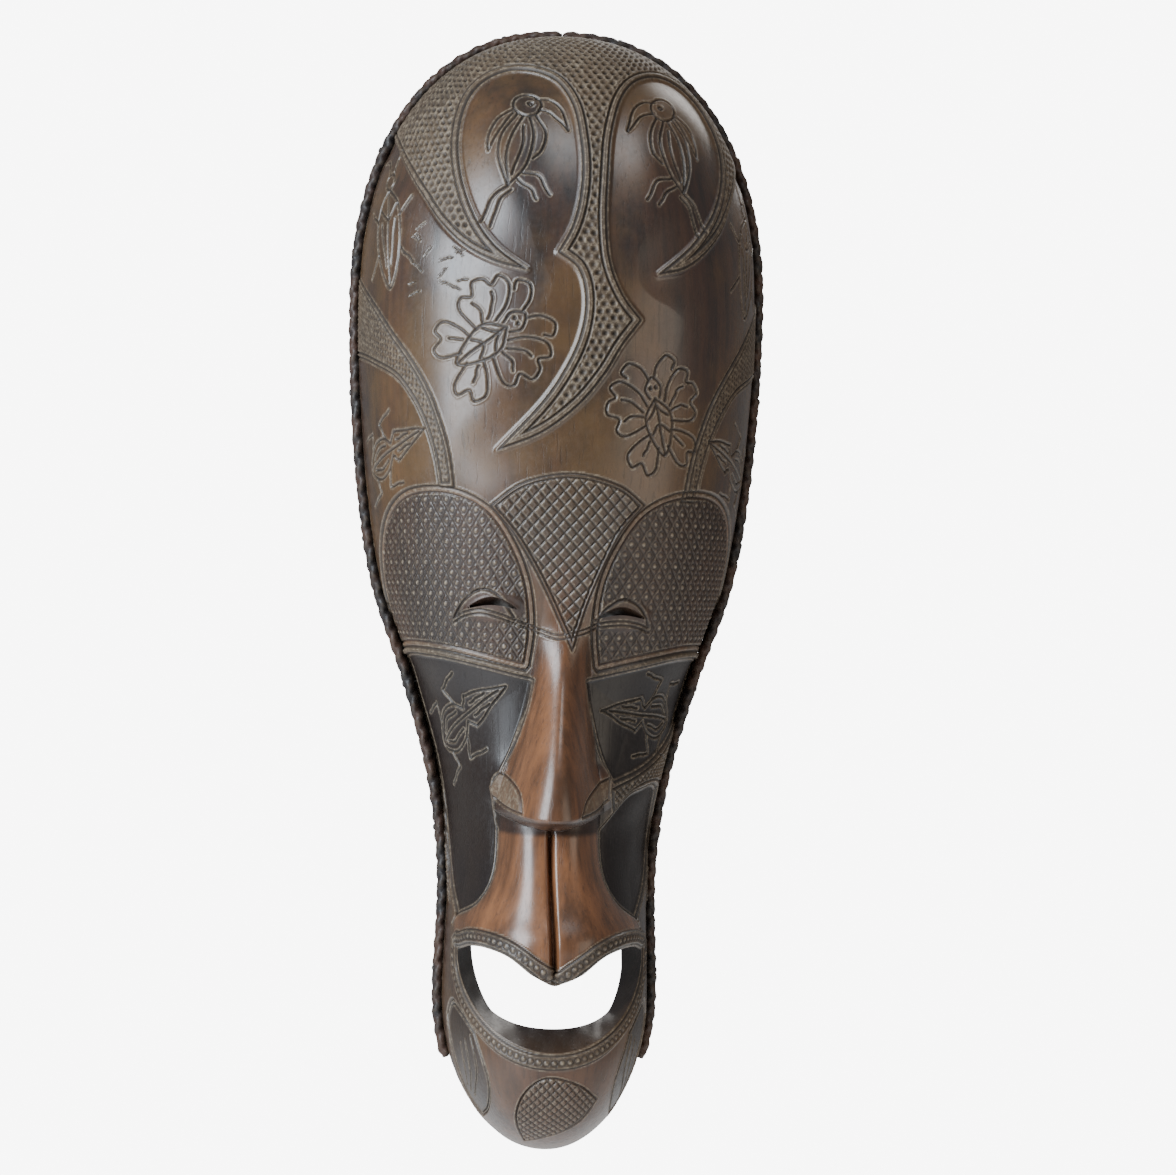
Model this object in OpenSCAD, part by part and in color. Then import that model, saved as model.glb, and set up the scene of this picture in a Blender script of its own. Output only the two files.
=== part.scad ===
// Carved wooden wall mask with a nailed edge band and a ring hanger.
// +Z is up, +X is the viewer's right, the face looks along -Y and the back rim lies on the plane Y = 0.
// Sculpting heights are measured up from the bottom of the chin. on_wall() then moves every piece,
// so that the origin lies on the back plane, level with the pin of the ring hanger.

/* [Mask body] */
// Height of the carved block, chin to crown
body_h = 595; // [500:5:715]
// Width of the carved block at its widest, across the forehead
body_w = 213; // [175:1:260]
// Depth of the forehead in front of the back plane
forehead_depth = 118; // [95:1:140]
// Depth of the cheeks in front of the back plane
cheek_depth = 80; // [70:1:95]
// Depth of the chin in front of the back plane
chin_depth = 98; // [75:1:110]
// Thickness of the hollowed wall
wall = 14; // [9:1:18]
// Width of the flat back rim
rim_w = 13; // [8:1:16]

/* [Nose and lip] */
// Height of the nose, root to base
nose_h = 122; // [90:1:140]
// Width of the nose at its base
nose_w = 54; // [40:1:64]
// How far the nose base stands out of the cheeks
nose_out = 52; // [30:1:60]
// How far the upper lip stands out of the cheeks
lip_out = 17; // [8:1:24]

/* [Mouth] */
// Wood left between each mouth corner and the side of the jaw
mouth_side = 7.5; // [5:0.5:16]
// Height of the mouth corners above the chin
mouth_z = 115; // [105:1:125]
// Drop of the lower lip edge below the corners
lower_lip_drop = 47; // [25:1:55]
// Drop of the upper lip edge below the corners at the middle
upper_lip_drop = 18; // [4:1:20]
// Height of the opening at the mouth corners
corner_gap = 5; // [3:0.5:8]

/* [Eyes] */
// Height of the eye slits above the chin
eye_z = 291; // [270:1:310]
// Distance between the middles of the eye slits
eye_spacing = 70; // [60:1:80]
// Width of one eye slit
eye_w = 26; // [18:1:30]
// Height of one eye slit at its middle
eye_gap = 4.2; // [3:0.2:8]
// Rise of the arched slit
eye_rise = 4; // [0:0.5:8]

/* [Edge band] */
// Thickness of the band that is nailed round the edge
band_t = 5.5; // [4:0.5:8]
// Width of the band, front to back
band_w = 11; // [7:0.5:16]
// Gap left between the band and the carved wood
band_gap = 0.4; // [0.3:0.1:2]
// How far the band stays in front of the back plane
band_back = 0.6; // [0.5:0.1:3]
// Height above the chin at which the band ends
band_start = 48; // [30:1:80]
// Gap between the two bands at the crown
band_split = 1.2; // [1:0.1:6]

/* [Tacks] */
// Tacks along each band
tack_count = 9; // [4:1:16]
// Radius of a tack head
tack_head_r = 2.4; // [1.8:0.1:3.5]
// Height of a tack head
tack_head_h = 1.3; // [0.8:0.1:2]
// Radius of a tack shank
tack_r = 0.8; // [0.5:0.1:1.2]
// Depth of a tack in the wood
tack_bite = 8; // [4:0.5:9]

/* [Ring hanger] */
// Wood left above the strap on the land that carries it
land_margin = 7; // [4:0.5:14]
// Depth of the land behind the back plane
land_recess = 6; // [5.5:0.1:9]
// Width of the hanger strap
strap_w = 12; // [9:0.5:16]
// Length of the hanger strap above its pin
strap_l = 32; // [28:1:44]
// Thickness of the hanger strap
strap_t = 1.2; // [0.8:0.1:1.5]
// Radius of the ring wire
wire_r = 1.6; // [1.2:0.1:2]
// Running clearance round the ring wire in the strap
pin_clear = 0.08; // [0.05:0.01:0.1]
// Length of the straight sides of the ring
ring_leg = 7; // [5:0.5:9]
// Gap between the strap and each side of the ring
ring_side_gap = 0.9; // [0.5:0.1:2]
// Radius of a hanger screw shank
screw_r = 1.4; // [1:0.1:1.6]
// Radius of a hanger screw head
screw_head_r = 2.9; // [2.2:0.1:3]
// Height of a hanger screw head
screw_head_h = 1.4; // [1:0.1:1.6]
// Depth of a hanger screw in the wood
screw_bite = 13; // [8:1:20]
// Radius of the pilot holes that the screws are driven into
pilot_r = 1; // [0.6:0.1:1.3]
// Clearance of a screw in its hole in the strap
screw_clear = 0.2; // [0.15:0.05:0.4]

/* [Hidden] */
$fn = 48;

// Exponents of the cross-section: how full the face is across and how square its shoulders are
FULL_ACROSS = 2.2;
FULL_FRONT = 2.1;
// Exponents of the outline at the crown and the chin, and of the profile there
CROWN_FULLNESS = 2.25;
CHIN_FULLNESS = 2;
CROWN_PROFILE = 2.3;
CHIN_PROFILE = 2.2;
EPS = 0.01;

// Parts of the height in which the profile turns in to the back plane
CHIN_TURN = 0.11;
CROWN_TURN = 0.3;
// Parts of the height at which the jaw starts to come forward, and over which it does so
JAW_START = 0.3;
JAW_RUN = 0.12;

// Height taken by the step from the land down into the hollow
STEP_H = 3;
// Gap between the strap's knuckle and the edge of the land
KNUCKLE_GAP = 0.2;

// Height of the nose root above the eye slits, and of its underside
ROOT_ABOVE_EYES = 8;
NOSE_UNDERSIDE = 2;
// Width of the nose root as a share of the base, and how late the nose widens and comes forward
ROOT_SHARE = 1 / 3;
NOSE_FLARE = 1.7;
NOSE_RISE = 1.05;

// Width of the lip columns under the nose, as a share of the nose base
COLUMN_SHARE = 0.92;
// How late the columns flare, how far past the mouth corners, and how far below them they run
LIP_FLARE = 2.5;
LIP_PAST = 2;
LIP_BELOW = 14;
// How square the columns are, how full, and the width and share of the groove between them
LIP_SQUARE = 3;
LIP_FULL = 0.7;
GROOVE_W = 3;
GROOVE_SHARE = 0.35;
// How far the rows beside the mouth spread, and how full the lower lip's curve is
CORNER_SPREAD = 10;
LOWER_LIP_FULLNESS = 2.4;
// Height of an eye slit at its corners, and of the wood's row beside it
EYE_CORNER = 0.8;
EYE_ROW_H = 3.8;
// How steeply the land turns up from the rim
LAND_TURN = 3;

half_w = body_w / 2;
nose_base_z = eye_z + ROOT_ABOVE_EYES - nose_h;
land_h = strap_l + land_margin + rim_w;
land_z = body_h - land_h;
knuckle_r = wire_r + pin_clear + strap_t;
strap_pin_z = land_z - knuckle_r - KNUCKLE_GAP;
pin_y = knuckle_r - land_recess;
crown_z = 0.756 * body_h;
jaw_z = 0.139 * body_h;

// Half width of the outline at heights between the jaw and the crown, as shares of the block's sizes
OUTLINE = [[0.139, 0.518], [0.25, 0.508], [0.336, 0.568], [0.42, 0.7],
    [0.504, 0.862], [0.588, 0.943], [0.672, 0.987], [0.756, 1]];
// Depth of the brow line between the cheeks and the forehead, as shares of that difference
BROW = [[0.1, 0], [0.3, 0], [0.42, 0.06], [0.5, 0.4], [0.58, 0.76], [0.68, 0.95], [0.76, 1]];

// Places of the columns across the face, from the middle (0) to the edge (1)
eye_in = (eye_spacing - eye_w) / 2 / half_at(eye_z);
eye_out = (eye_spacing + eye_w) / 2 / half_at(eye_z);
mouth_half = half_at(mouth_z) - mouth_side;
mouth_edge = mouth_half / half_at(mouth_z);
COLUMNS_RIGHT = [0, 0.055, 0.11, 0.175, eye_in, eye_in + (eye_out - eye_in) / 4,
    (eye_in + eye_out) / 2, eye_out - (eye_out - eye_in) / 4, eye_out,
    eye_out + (mouth_edge - eye_out) / 3, mouth_edge - (mouth_edge - eye_out) / 3, mouth_edge,
    mouth_edge + (1 - mouth_edge) * 0.4, mouth_edge + (1 - mouth_edge) * 0.7,
    mouth_edge + (1 - mouth_edge) * 0.9, 1];
SIDE = len(COLUMNS_RIGHT) - 1;
COLUMNS = [for (i = [-SIDE:SIDE]) sign(i) * COLUMNS_RIGHT[abs(i)]];
EYE_FIRST = 4;
EYE_LAST = 8;
MOUTH_LAST = 11;

// Rows of cells between the named stations, from the chin up: mouth opening, nose base, eye slit and land
ROWS = [9, 5, 6, 1, 10, 1, 14, 1, 10];
ROW_START = [for (i = 0, s = 0; i < len(ROWS); s = s + ROWS[i], i = i + 1) s];
MOUTH_ROW = ROW_START[1];
EYE_ROW = ROW_START[5];
ROW_COUNT = ROW_START[len(ROWS) - 1] + ROWS[len(ROWS) - 1];

function clamp01(v) = max(0, min(1, v));
function mix(a, b, t) = a + (b - a) * t;
function smooth(t) = clamp01(t) * clamp01(t) * (3 - 2 * clamp01(t));
// A smooth curve through the knots of a list, flat past its ends
function slope(list, i) = i <= 0 || i >= len(list) - 1 ? 0
    : (list[i + 1][1] - list[i - 1][1]) / (list[i + 1][0] - list[i - 1][0]);
function span_of(list, t, i = 0) = i >= len(list) - 2 || t < list[i + 1][0] ? i
    : span_of(list, t, i + 1);
function hermite(a, b, sa, sb, t, w) = (2 * t * t * t - 3 * t * t + 1) * a
    + (t * t * t - 2 * t * t + t) * w * sa + (3 * t * t - 2 * t * t * t) * b + (t * t * t - t * t) * w * sb;
function curve_in(list, i, t) = hermite(list[i][1], list[i + 1][1], slope(list, i), slope(list, i + 1),
    (t - list[i][0]) / (list[i + 1][0] - list[i][0]), list[i + 1][0] - list[i][0]);
function last(list) = list[len(list) - 1];
function curve(list, t) = t <= list[0][0] ? list[0][1] : t >= last(list)[0] ? last(list)[1]
    : curve_in(list, span_of(list, t), t);
function round_end(r, n) = pow(max(0, 1 - pow(clamp01(r), n)), 1 / n);

// Half width of the carved block at height z
function half_at(z) = z < jaw_z ? half_w * OUTLINE[0][1] * round_end((jaw_z - z) / jaw_z, CHIN_FULLNESS)
    : z > crown_z ? half_w * round_end((z - crown_z) / (body_h - crown_z), CROWN_FULLNESS)
    : half_w * curve(OUTLINE, z / body_h);
// Depth of the face at height z, before the nose and lip are raised from it
function rounding_of(z) = round_end(1 - z / (CHIN_TURN * body_h), CHIN_PROFILE)
    * round_end(1 - (body_h - z) / (CROWN_TURN * body_h), CROWN_PROFILE);
function depth_at(z) = rounding_of(z) * (mix(cheek_depth, forehead_depth, curve(BROW, z / body_h))
    + (chin_depth - cheek_depth) * smooth((JAW_START * body_h - z) / (JAW_RUN * body_h)));
function section(c) = pow(max(0, 1 - pow(abs(c), FULL_ACROSS)), 1 / FULL_FRONT);

// The nose: narrow at the root, flared at the base
function nose_share(z) = clamp01((nose_base_z + nose_h - z) / nose_h);
function nose_half(z) = nose_w / 2 * mix(ROOT_SHARE, 1, pow(nose_share(z), NOSE_FLARE));
function nose_at(x, z) = z < nose_base_z ? 0
    : nose_out * smooth(nose_share(z) * NOSE_RISE) * max(0, 1 - pow(abs(x) / nose_half(z), 2));
// The upper lip: two columns under the nose that flare out to the mouth corners
function lip_flare(z) = clamp01((nose_base_z - z) / (nose_base_z - mouth_z));
function lip_half(z) = mix(nose_w / 2 * COLUMN_SHARE, mouth_half + LIP_PAST, pow(lip_flare(z), LIP_FLARE));
function lip_groove(x) = 1 - GROOVE_SHARE * exp(-pow(x / GROOVE_W, 2));
function lip_at(x, z) = z > nose_base_z || z < mouth_z - LIP_BELOW ? 0
    : lip_out * pow(max(0, 1 - pow(abs(x) / lip_half(z), LIP_SQUARE)), LIP_FULL) * lip_groove(x);

// Station heights across the face at column c
function mouth_bow(c) = clamp01(1 - abs(c) / mouth_edge);
function past_mouth(c) = clamp01((abs(c) - mouth_edge) / (1 - mouth_edge));
function lower_lip(c) = mouth_z - corner_gap / 2 - past_mouth(c) * CORNER_SPREAD
    - lower_lip_drop * round_end(clamp01(abs(c) / mouth_edge), LOWER_LIP_FULLNESS);
function upper_lip(c) = mouth_z + corner_gap / 2 + past_mouth(c) * CORNER_SPREAD
    - upper_lip_drop * mouth_bow(c);
function eye_share(c) = (abs(c) - (eye_in + eye_out) / 2) / ((eye_out - eye_in) / 2);
function eye_bow(c) = abs(eye_share(c)) < 1 ? cos(90 * eye_share(c)) : 0;
function eye_apart(c) = abs(eye_share(c)) < 1 ? mix(EYE_CORNER, eye_gap, eye_bow(c))
    : mix(EYE_CORNER, EYE_ROW_H, clamp01(abs(eye_share(c)) - 1));
function eye_line(c, side) = eye_z + eye_rise * (eye_bow(c) - 0.5) + side * eye_apart(c) / 2;
function station(k, c) = k == 0 ? 0 : k == 1 ? lower_lip(c) : k == 2 ? upper_lip(c)
    : k == 3 ? nose_base_z - NOSE_UNDERSIDE : k == 4 ? nose_base_z + EPS : k == 5 ? eye_line(c, -1)
    : k == 6 ? eye_line(c, 1) : k == 7 ? outside_z(land_z - STEP_H)
    : k == 8 ? outside_z(land_z) : body_h;
// Rows crowd together towards the chin and the crown, where the outline turns in
function easing(k, t) = k == 0 ? 1 - cos(90 * t) : k == len(ROWS) - 1 ? sin(90 * t) : t;
function row_span(j, k = 0) = k >= len(ROWS) - 1 || j < ROW_START[k + 1] ? k : row_span(j, k + 1);
function row_in(j, k, c) = mix(station(k, c), station(k + 1, c), easing(k, (j - ROW_START[k]) / ROWS[k]));
function row_z(j, c) = row_in(j, row_span(j), c);

function front_point(c, z) = let (x = half_at(z) * c)
    [x, -depth_at(z) * section(c) - (nose_at(x, z) + lip_at(x, z)) * min(1, 2 * section(c)), z];
// The hollow follows the face one wall inside it, and leaves the land behind the crown
function inside_z(z) = z < jaw_z ? jaw_z - (jaw_z - z) * (jaw_z - rim_w) / jaw_z
    : z > crown_z ? crown_z + (z - crown_z) * (body_h - rim_w - crown_z) / (body_h - crown_z) : z;
// The height on the block's front that lies over height z of the hollow, above the crown line
function outside_z(z) = crown_z + (z - crown_z) * (body_h - crown_z) / (body_h - rim_w - crown_z);
function inside_half(z) = half_at(z) * (1 - rim_w / half_at(max(jaw_z, min(crown_z, z))));
function inside_depth(z) = max(0, depth_at(z) - wall * rounding_of(z));
function on_land(z) = inside_z(z) > land_z - EPS;
function hollow_y(c, z) = on_land(z) ? -min(land_recess, inside_depth(z) * section(c) * LAND_TURN)
    : -inside_depth(z) * section(c);
function back_point(c, z) = [inside_half(z) * c, abs(c) == 1 ? 0 : hollow_y(c, z), inside_z(z)];

// The wall is one mesh: front rows, back rows, the two ends of each, and the walls of the openings
function is_eye(i, j) = j == EYE_ROW && abs(i + 0.5 - SIDE) > EYE_FIRST && abs(i + 0.5 - SIDE) < EYE_LAST;
function is_mouth(i, j) = j >= MOUTH_ROW && j < EYE_ROW && row_span(j) == 1
    && abs(i + 0.5 - SIDE) < MOUTH_LAST;
function in_grid(i, j) = j >= 0 && j < ROW_COUNT && i >= 0 && i < 2 * SIDE;
function is_open(i, j) = in_grid(i, j) && (is_eye(i, j) || is_mouth(i, j));
// Cells of the first and last row share their end point, and every point lies in one list
ACROSS = 2 * SIDE + 1;
LAYER = ACROSS * (ROW_COUNT - 1) + 2;
function is_end(j) = j == 0 || j == ROW_COUNT;
function at(i, j, layer) = layer * LAYER
    + (j == 0 ? 0 : j == ROW_COUNT ? LAYER - 1 : 1 + (j - 1) * ACROSS + i);
function grid(layer) = [for (j = [0:ROW_COUNT], i = [0:is_end(j) ? 0 : ACROSS - 1])
    let (c = is_end(j) ? 0 : COLUMNS[i], z = row_z(j, c))
    layer == 0 ? front_point(c, z) : is_end(j) ? [0, 0, inside_z(z)] : back_point(c, z)];
// Two triangles of a cell, split one way on the left half and the other way on the right half
function cell(a, b, c, d, turned) = [for (t = turned ? [[a, b, d], [b, c, d]] : [[a, b, c], [a, c, d]])
    if (t[0] != t[1] && t[1] != t[2] && t[2] != t[0]) t];
function face_cell(i, j, layer) = layer == 0
    ? cell(at(i, j, 0), at(i, j + 1, 0), at(i + 1, j + 1, 0), at(i + 1, j, 0), i >= SIDE)
    : cell(at(i, j, 1), at(i + 1, j, 1), at(i + 1, j + 1, 1), at(i, j + 1, 1), i >= SIDE);
function faces_of(layer) = [for (j = [0:ROW_COUNT - 1], i = [0:ACROSS - 2]) if (!is_open(i, j))
    each face_cell(i, j, layer)];
// A strip of wall from the front edge a-b of a hole or rim to the same edge of the back layer
function strip(a, b) = a == b ? [] : [[a, b, b + LAYER], [a, b + LAYER, a + LAYER]];
function rim_faces() = [for (j = [0:ROW_COUNT - 1]) each concat(strip(at(0, j + 1, 0), at(0, j, 0)),
    strip(at(ACROSS - 1, j, 0), at(ACROSS - 1, j + 1, 0)))];
function hole_faces() = [for (j = [0:ROW_COUNT - 1], i = [0:ACROSS - 2]) if (is_open(i, j)) each concat(
    is_open(i - 1, j) ? [] : strip(at(i, j, 0), at(i, j + 1, 0)),
    is_open(i + 1, j) ? [] : strip(at(i + 1, j + 1, 0), at(i + 1, j, 0)),
    is_open(i, j - 1) ? [] : strip(at(i + 1, j, 0), at(i, j, 0)),
    is_open(i, j + 1) ? [] : strip(at(i, j + 1, 0), at(i + 1, j + 1, 0)))];

// The edge of the carved block as a path from the band's lower end to the crown
BAND_STRAIGHT = 26;
BAND_ROUND = 20;
band_reach = acos(min(1, pow(band_split / 2 / half_w, CROWN_FULLNESS / 2)));
function side_point(z) = [half_at(z), z];
function crown_point(a) = [half_w * pow(cos(a), 2 / CROWN_FULLNESS),
    crown_z + (body_h - crown_z) * pow(sin(a), 2 / CROWN_FULLNESS)];
function edge_point(i) = i <= BAND_STRAIGHT ? side_point(mix(band_start, crown_z, i / BAND_STRAIGHT))
    : crown_point(band_reach * (i - BAND_STRAIGHT) / BAND_ROUND);
EDGE_LAST = BAND_STRAIGHT + BAND_ROUND;
function edge_run(i) = edge_point(min(EDGE_LAST, i + 1)) - edge_point(max(0, i - 1));
function edge_out(i) = i == EDGE_LAST ? [0, 1] : [edge_run(i)[1], -edge_run(i)[0]] / norm(edge_run(i));
// Corners of the band's section: [distance out of the edge, Y]
CHAMFER = 1.6;
band_front = -band_back - band_w;
BAND_SECTION = [[band_gap, -band_back - CHAMFER / 2], [band_gap, band_front + CHAMFER / 2],
    [band_gap + CHAMFER / 2, band_front], [band_gap + band_t - CHAMFER, band_front],
    [band_gap + band_t, band_front + CHAMFER], [band_gap + band_t, -band_back - CHAMFER],
    [band_gap + band_t - CHAMFER, -band_back], [band_gap + CHAMFER / 2, -band_back]];
SIDES = len(BAND_SECTION);
function band_point(i, s) = let (p = edge_point(i) + edge_out(i) * s[0]) [p[0], s[1], p[1]];

module edge_band() {
    points = [for (i = [0:EDGE_LAST], s = BAND_SECTION) band_point(i, s)];
    walls = [for (i = [0:EDGE_LAST - 1], s = [0:SIDES - 1])
        let (a = i * SIDES + s, b = i * SIDES + (s + 1) % SIDES)
        each [[a, b, b + SIDES], [a, b + SIDES, a + SIDES]]];
    foot = [for (s = [SIDES - 1:-1:0]) s];
    head = [for (s = [0:SIDES - 1]) EDGE_LAST * SIDES + s];
    polyhedron(points, concat(walls, [foot], [head]));
}

module mask_shell() {
    color("#3a2a22") difference() {
        polyhedron(concat(grid(0), grid(1)), concat(faces_of(0), faces_of(1), rim_faces(), hole_faces()));
        for (z = [screw_low_z, screw_high_z]) translate([0, -land_recess, z]) rotate([90, 0, 0])
            cylinder(h = 2 * screw_bite, r = pilot_r, center = true);
    }
}

module rim_band_right() {
    color("#4a4038") edge_band();
}

module rim_band_left() {
    color("#4a4038") mirror([1, 0, 0]) edge_band();
}

// Shoulder and top of a tack's domed head, as shares of its radius and height
TACK_SHOULDER = [0.8, 0.65];
TACK_TOP = 0.35;
// Shoulder of a screw's round head, and its top
SCREW_SHOULDER = 0.4;
SCREW_TOP = 0.6;

// A tack along +Z whose head rests on Z = 0
module tack() {
    point_z = -band_t - band_gap - tack_bite;
    rotate_extrude() polygon([[0, point_z - tack_r], [tack_r, point_z], [tack_r, 0], [tack_head_r, 0],
        [tack_head_r * TACK_SHOULDER[0], tack_head_h * TACK_SHOULDER[1]],
        [tack_head_r * TACK_TOP, tack_head_h], [0, tack_head_h]]);
}

module tacks_of_side() {
    for (k = [0:tack_count - 1]) {
        i = round((k + 0.5) * EDGE_LAST / tack_count);
        p = edge_point(i) + edge_out(i) * (band_gap + band_t);
        translate([p[0], -band_back - band_w / 2, p[1]])
            rotate([0, atan2(edge_out(i)[0], edge_out(i)[1]), 0]) tack();
    }
}

module rim_tacks() {
    color("#2a2826") {
        tacks_of_side();
        mirror([1, 0, 0]) tacks_of_side();
    }
}

// The lower screw stays this far above the knuckle, and the upper one this far below the strap's end
SCREW_LOW_GAP = 1;
SCREW_HIGH_GAP = 1.5;
screw_low_z = strap_pin_z + knuckle_r + screw_head_r + SCREW_LOW_GAP;
screw_high_z = strap_pin_z + strap_l - screw_head_r - SCREW_HIGH_GAP;
ring_half = strap_w / 2 + ring_side_gap + wire_r;

module screw_hole(z, r) {
    translate([0, 0, z]) rotate([90, 0, 0]) cylinder(h = 4 * land_recess, r = r, center = true);
}

module hanger_strap() {
    color("#8f8a80") difference() {
        union() {
            translate([-strap_w / 2, -land_recess, strap_pin_z]) cube([strap_w, strap_t, strap_l]);
            translate([0, pin_y, strap_pin_z]) rotate([0, 90, 0])
                cylinder(h = strap_w, r = knuckle_r, center = true);
        }
        translate([0, pin_y, strap_pin_z]) rotate([0, 90, 0])
            cylinder(h = 2 * strap_w, r = wire_r + pin_clear, center = true);
        screw_hole(screw_low_z, screw_r + screw_clear);
        screw_hole(screw_high_z, screw_r + screw_clear);
    }
}

module hanger_ring() {
    color("#b8b4aa") translate([0, pin_y, strap_pin_z]) {
        rotate([0, 90, 0]) cylinder(h = 2 * ring_half, r = wire_r, center = true);
        for (side = [-1, 1]) {
            translate([side * ring_half, 0, 0]) sphere(r = wire_r);
            translate([side * ring_half, 0, -ring_leg]) cylinder(h = ring_leg, r = wire_r);
        }
        translate([0, 0, -ring_leg]) rotate([-90, 0, 0]) rotate_extrude(angle = 180)
            translate([ring_half, 0]) circle(r = wire_r);
    }
}

// A round-headed wood screw along +Y whose head rests on the strap
module hanger_screw(z) {
    tip = -strap_t - screw_bite;
    translate([0, strap_t - land_recess, z]) rotate([-90, 0, 0]) rotate_extrude()
        polygon([[0, tip], [screw_r, tip + 2 * screw_r], [screw_r, 0], [screw_head_r, 0],
            [screw_head_r, screw_head_h * SCREW_SHOULDER], [screw_head_r * SCREW_TOP, screw_head_h],
            [0, screw_head_h]]);
}

module hanger_screws() {
    color("#9a958a") {
        hanger_screw(screw_low_z);
        hanger_screw(screw_high_z);
    }
}

module on_wall() {
    translate([0, 0, -strap_pin_z]) children();
}

on_wall() mask_shell();
on_wall() rim_band_left();
on_wall() rim_band_right();
on_wall() rim_tacks();
on_wall() hanger_strap();
on_wall() hanger_ring();
on_wall() hanger_screws();
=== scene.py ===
"""Carved wooden wall mask, modelled round its frame: the carved face, its hollow back, the twisted edge
bands, their tacks and the ring hanger. Lengths in the settings are metres. The carving is laid out on
the wood itself, in millimetres: across from the middle line, and up from the bottom of the chin."""
import math

import bmesh
import bpy
import numpy as np
from mathutils import Matrix, Vector


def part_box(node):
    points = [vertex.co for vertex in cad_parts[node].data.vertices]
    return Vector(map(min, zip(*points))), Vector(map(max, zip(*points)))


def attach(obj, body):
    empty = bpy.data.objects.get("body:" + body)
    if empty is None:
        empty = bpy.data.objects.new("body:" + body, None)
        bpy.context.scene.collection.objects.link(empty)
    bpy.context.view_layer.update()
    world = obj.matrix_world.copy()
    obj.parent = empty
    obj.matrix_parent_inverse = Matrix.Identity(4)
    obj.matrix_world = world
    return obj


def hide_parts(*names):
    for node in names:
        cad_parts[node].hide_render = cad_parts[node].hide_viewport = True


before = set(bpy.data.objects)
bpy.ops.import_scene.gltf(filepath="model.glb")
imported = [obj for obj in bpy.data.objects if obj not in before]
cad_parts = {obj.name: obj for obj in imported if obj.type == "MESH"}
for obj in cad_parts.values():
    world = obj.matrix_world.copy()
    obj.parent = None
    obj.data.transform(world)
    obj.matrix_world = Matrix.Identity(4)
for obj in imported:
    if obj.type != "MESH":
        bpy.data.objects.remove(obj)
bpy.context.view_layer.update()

bl_info = {
    "name": "Carved Mask Maker",
    "version": (1, 0, 0),
    "blender": (4, 5, 0),
    "location": "View3D > Sidebar > Mask",
    "description": "Makes a carved wooden wall mask round its frame",
    "category": "Add Mesh",
}

MM = 0.001
SHELL_LOW, SHELL_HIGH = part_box("mask_shell")
CHIN_Z = SHELL_LOW.z
BODY_H = (SHELL_HIGH.z - SHELL_LOW.z) / MM
HALF_W = (SHELL_HIGH.x - SHELL_LOW.x) / 2 / MM
RIM_W = 13
LAND_H = 52
LAND_Z = BODY_H - LAND_H
LAND_STEP = 3
LAND_RECESS = -(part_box("hanger_strap")[0].y) / MM

# Half width between the jaw and the crown, and the depth of the brow, as shares of the block's sizes
OUTLINE = [(0.139, 0.518), (0.25, 0.508), (0.336, 0.568), (0.42, 0.7), (0.504, 0.862), (0.588, 0.943),
           (0.672, 0.987), (0.756, 1)]
JAW_Z = OUTLINE[0][0] * BODY_H
CROWN_Z = OUTLINE[-1][0] * BODY_H
CROWN_FULLNESS = 2.25
BROW = [(0.1, 0), (0.3, 0), (0.42, 0.06), (0.5, 0.4), (0.58, 0.76), (0.68, 0.95), (0.76, 1)]
# How far the nose and the lips lean off the middle line at heights above the chin
LEAN = [(60, 0), (115, -1.5), (178, -3.5), (240, 0), (300, 4.5), (330, 6)]

# The face's grid of points, and how many of its steps the hollow takes at once
FACE_ROWS = 1200
FACE_COLUMNS = 552
COARSE = 3
STRIPS = ["carved_chin", "carved_mouth", "carved_cheeks", "carved_eyes", "carved_brow",
          "carved_forehead", "carved_crown"]
# What the carving leaves for the finish: ash rubbed in, cuts whose bottoms get painted shade, worn edges, red
# stain, and black stain that also lays painted shade under the nose and on the walls of the openings
MARKS = ("ash", "cut", "edge", "red", "black")
FAR = 99.0
# Points this near each other, in metres, are one, and so are the points of a grid's end row
SAME_PLACE = 1e-7
POLE = 2e-6
EVERYWHERE = np.s_[:, :]
# How far lower the eye slits come out in the hollow, across and up
EYE_SLANT = (0, -7)


# ---------------------------------------------------------------- settings

def length(name, description, default):
    """A length that the user sets."""
    return bpy.props.FloatProperty(name=name, description=description, default=default,
                                   subtype="DISTANCE", unit="LENGTH")


def tint(name, description, default):
    """A colour that the user sets."""
    return bpy.props.FloatVectorProperty(name=name, description=description, default=default, size=3,
                                         subtype="COLOR", min=0, max=1)


class MaskShape(bpy.types.PropertyGroup):
    forehead_depth: length("Forehead Depth", "Depth of the forehead in front of the back plane", 0.118)
    cheek_depth: length("Cheek Depth", "Depth of the cheeks in front of the back plane", 0.080)
    chin_depth: length("Chin Depth", "Depth of the chin in front of the back plane", 0.098)
    wall: length("Wall", "Thickness of the hollowed wall", 0.014)
    nose_height: length("Nose Height", "From the root to the base", 0.119)
    nose_width: length("Nose Width", "Width of the nose at its base", 0.060)
    nose_out: length("Nose Stand-off", "How far the nose base stands out of the cheeks", 0.051)
    lip_out: length("Lip Stand-off", "How far the upper lip stands out of the cheeks", 0.017)
    mouth_height: length("Mouth Height", "Height of the mouth corners above the chin", 0.115)
    lower_lip_drop: length("Lower Lip Drop", "Drop of the lower lip edge below the corners", 0.047)
    upper_lip_drop: length("Upper Lip Drop", "Drop of the upper lip edge at the middle", 0.019)
    eye_height: length("Eye Height", "Height of the eye slits above the chin", 0.291)
    eye_spacing: length("Eye Spacing", "Distance between the middles of the eye slits", 0.070)
    eye_width: length("Eye Width", "Width of one eye slit", 0.026)
    eye_gap: length("Eye Gap", "Height of one eye slit at its middle", 0.0042)
    band_thickness: length("Band Thickness", "Thickness of the twisted edge bands", 0.0066)
    band_width: length("Band Width", "Width of the edge bands from front to back", 0.0108)


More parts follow.
